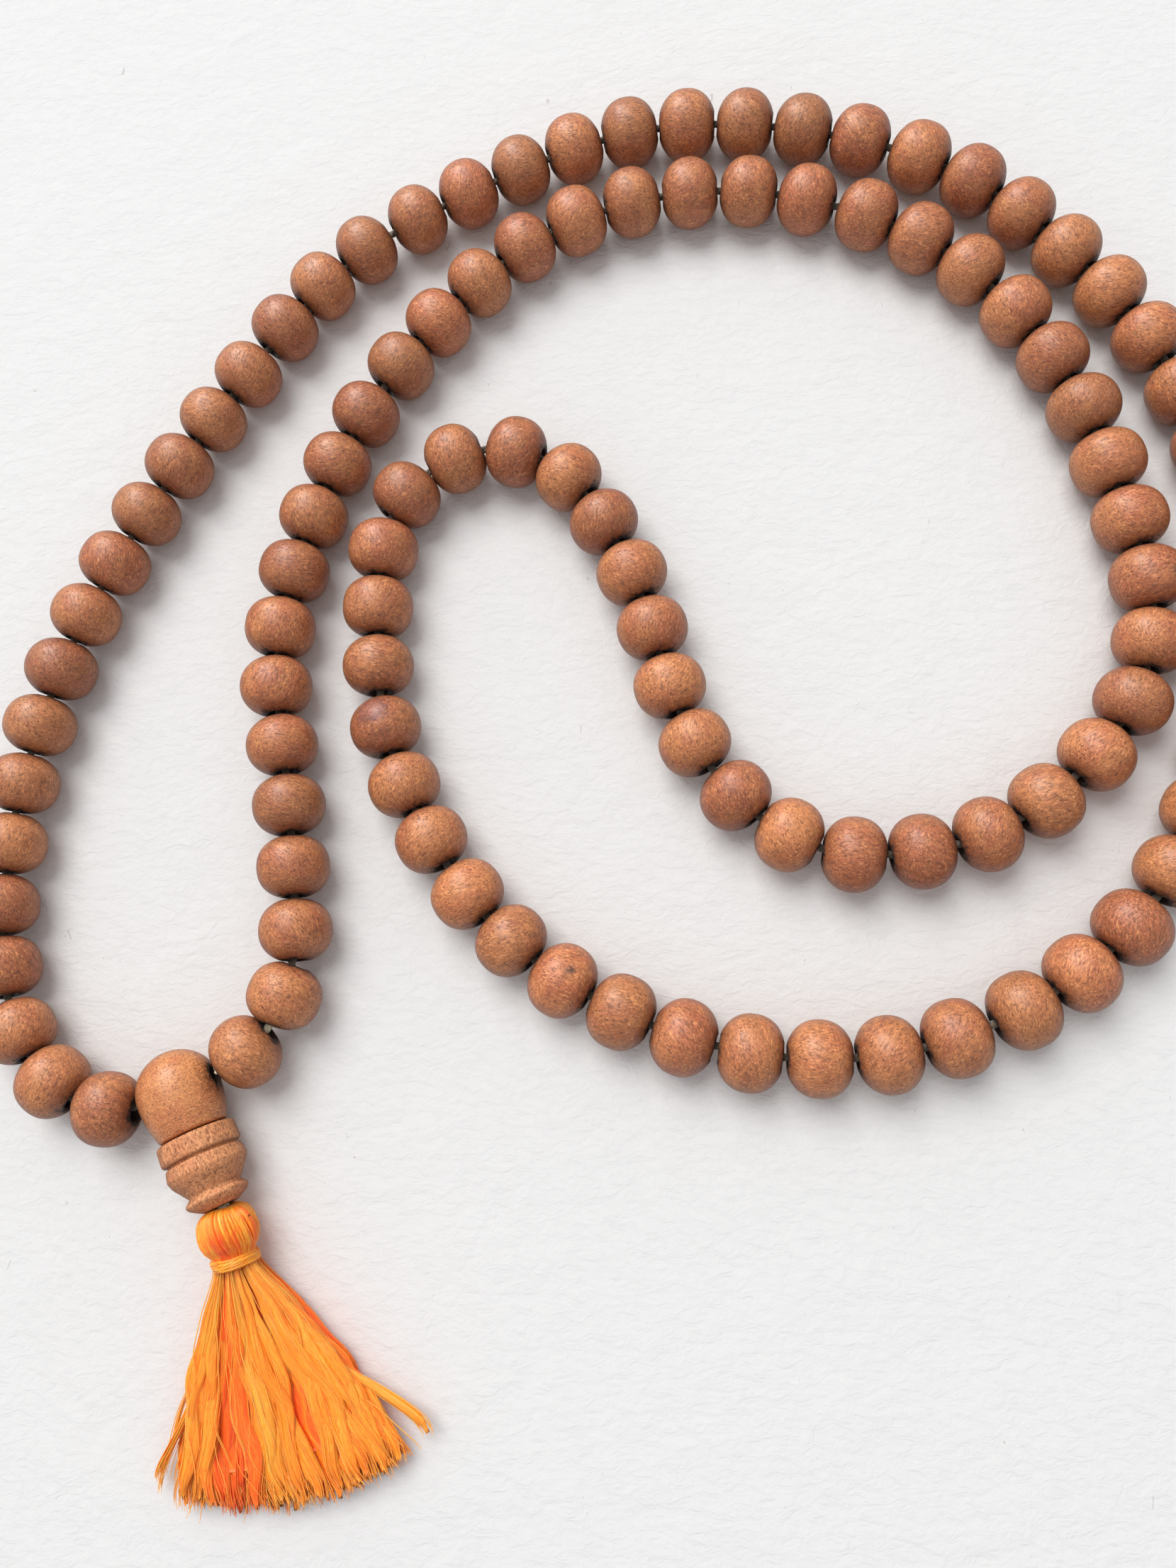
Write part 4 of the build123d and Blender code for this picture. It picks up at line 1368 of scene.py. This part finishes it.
        # Deep red tone: painted shade in the gaps between the locks.
        told[..., 0], told[..., 1], told[..., 2] = s[:, None], turn[None] * 3, 0.22
        caps = [np.arange(48)[None], 43 * 48 + np.arange(48)[::-1][None]]
        stock.add(points.reshape(-1, 3), [ring_faces(44, 48), *caps], silk=told.reshape(-1, 3))

    def _add(self, stock: Stock, paths: np.ndarray, radii: np.ndarray, sides: int, shade: np.ndarray,
             rng: np.random.Generator, reference: tuple[float, float, float]) -> None:
        """Adds filaments with the place, number and tone that the silk reads.

        Args:
            stock: What they are added to.
            paths: Their lines.
            radii: Their radii.
            sides: How many sides each has.
            shade: Their tone at each point.
            rng: Numbers them.
            reference: A direction that none of them follows.
        """
        points, faces = filaments(paths, radii, sides, reference)
        count, length = paths.shape[:2]
        run = np.cumsum(np.linalg.norm(np.gradient(paths, axis=1), axis=-1), axis=1)
        told = np.zeros((count, length, sides, 3))
        told[..., 0] = run[..., None] + rng.uniform(0, 90, (count, 1, 1))
        told[..., 1] = rng.uniform(0, 9, (count, 1, 1)) + np.arange(sides)[None, None] * 0.013
        told[..., 2] = shade[..., None]
        stock.add(points, faces, silk=told.reshape(-1, 3))


@dataclass(frozen=True)
class Studio:
    """The pale floor, the soft light and the camera."""

    floor_side: float = 3.0
    paper: Colour = (0.80, 0.80, 0.80)
    sky: Colour = (0.97, 0.98, 1.0)
    sky_strength: float = 0.56
    window_at: tuple[float, float, float] = (-0.55, 0.95, 2.00)
    window_size: float = 1.60
    window_power: float = 40.0
    key_at: tuple[float, float, float] = (-0.62, 1.25, 0.95)
    key_size: float = 0.60
    key_power: float = 21.0
    eye: tuple[float, float, float] = (0.011547, -0.032191, 0.131175)
    tilt: tuple[float, float, float] = (12.1977, 6.0733, 0.0)
    lens: float = 28.8

    def build(self) -> None:
        """Puts up the camera, the floor and the light."""
        scene = bpy.context.scene
        scene.view_settings.view_transform = "Standard"
        camera = bpy.data.cameras.new("camera")
        camera.lens, camera.sensor_width, camera.clip_start = self.lens, 36.0, 0.005
        holder = bpy.data.objects.new("camera", camera)
        holder.location = self.eye
        holder.rotation_euler = [math.radians(angle) for angle in self.tilt]
        scene.collection.objects.link(holder)
        scene.camera = holder
        floor = self._floor()
        self._light("window", self.window_at, self.window_size, self.window_power)
        key = self._light("key", self.key_at, self.key_size, self.key_power)
        spared = bpy.data.collections.new("spared")
        spared.objects.link(floor)
        spared.collection_objects[0].light_linking.link_state = "EXCLUDE"
        key.light_linking.receiver_collection = spared
        world = bpy.data.worlds.new("room")
        world.use_nodes = True
        world.node_tree.nodes["Background"].inputs[0].default_value = (*self.sky, 1.0)
        world.node_tree.nodes["Background"].inputs[1].default_value = self.sky_strength
        scene.world = world

    @staticmethod
    def _light(name: str, place: tuple[float, float, float], size: float, power: float) -> bpy.types.Object:
        """Puts up a soft square light that faces the object.

        Args:
            name: Its name.
            place: Where it stands.
            size: How wide it is.
            power: Its power in watts.

        Returns:
            The light's object.
        """
        light = bpy.data.lights.new(name, "AREA")
        light.shape, light.size, light.energy = "SQUARE", size, power
        light.color = (1.0, 0.985, 0.965)
        lamp = bpy.data.objects.new(name, light)
        lamp.location = place
        lamp.rotation_euler = (-Vector(place)).to_track_quat("-Z", "Y").to_euler()
        bpy.context.scene.collection.objects.link(lamp)
        return lamp

    def _floor(self) -> bpy.types.Object:
        """A sheet of handmade paper: soft hills, felted fibres and a few dark hairs."""
        half = self.floor_side / 2
        mesh = bpy.data.meshes.new("floor")
        corners = [(-half, -half, 0), (half, -half, 0), (half, half, 0), (-half, half, 0)]
        mesh.from_pydata(corners, [], [(0, 1, 2, 3)])
        floor = bpy.data.objects.new("floor", mesh)
        bpy.context.scene.collection.objects.link(floor)
        board = Board("paper")
        place = board.scaled(board.node("TexCoord").outputs["Object"], (1000.0, 1000.0, 0.0))
        hills = board.noise(board.scaled(place, (0.11, 0.16, 0.0)), 3.0, 0.55, 0.6)
        felt = board.noise(board.scaled(place, (0.55, 0.95, 0.0)), 5.0, 0.62, 1.4)
        hair_at = board.noise(board.scaled(place, (0.23, 0.23, 0.0), (80.0, 3.0, 0.0)), 1.0, 0.5)
        hair = board.noise(board.scaled(place, (1.3, 0.55, 0.0), (11.0, 47.0, 0.0)), 2.0, 0.5, 1.0)
        hair = board.maths("MULTIPLY", board.graded(hair, 0.735, 0.76), board.graded(hair_at, 0.56, 0.60))
        colour = board.mixed(board.maths("MULTIPLY", hair, 0.35), self.paper, (0.30, 0.27, 0.22))
        height = board.maths("MULTIPLY_ADD", felt, 0.45, hills)
        board.bump(height, 0.60, 0.60)
        board.set(Base_Color=colour, Roughness=0.95, Specular_IOR_Level=0.2)
        mesh.materials.append(board.material)
        return floor


def main() -> None:
    """Builds the studio and every piece, and reports each."""
    logging.basicConfig(level=logging.INFO, format="%(message)s")
    Studio().build()
    log.info("studio: camera, floor and light")
    line = Strand().line()
    log.info("strand: %.1f mm along its spline", float(np.linalg.norm(np.diff(line, axis=0), axis=1).sum()))
    cotton = ThreadFinish().build()
    log.info("thread: %d lengths", StrandThread().build(line, cotton))
    log.info("beads: %d", BeadStrand().build(line))
    GuruBead().build()
    TowerBead().build()
    PendantThread().build(cotton)
    log.info("guru bead, tower bead, their thread and knot")
    log.info("tassel: %d filaments in its skirt", Tassel().build())


if __name__ == "__main__":
    main()
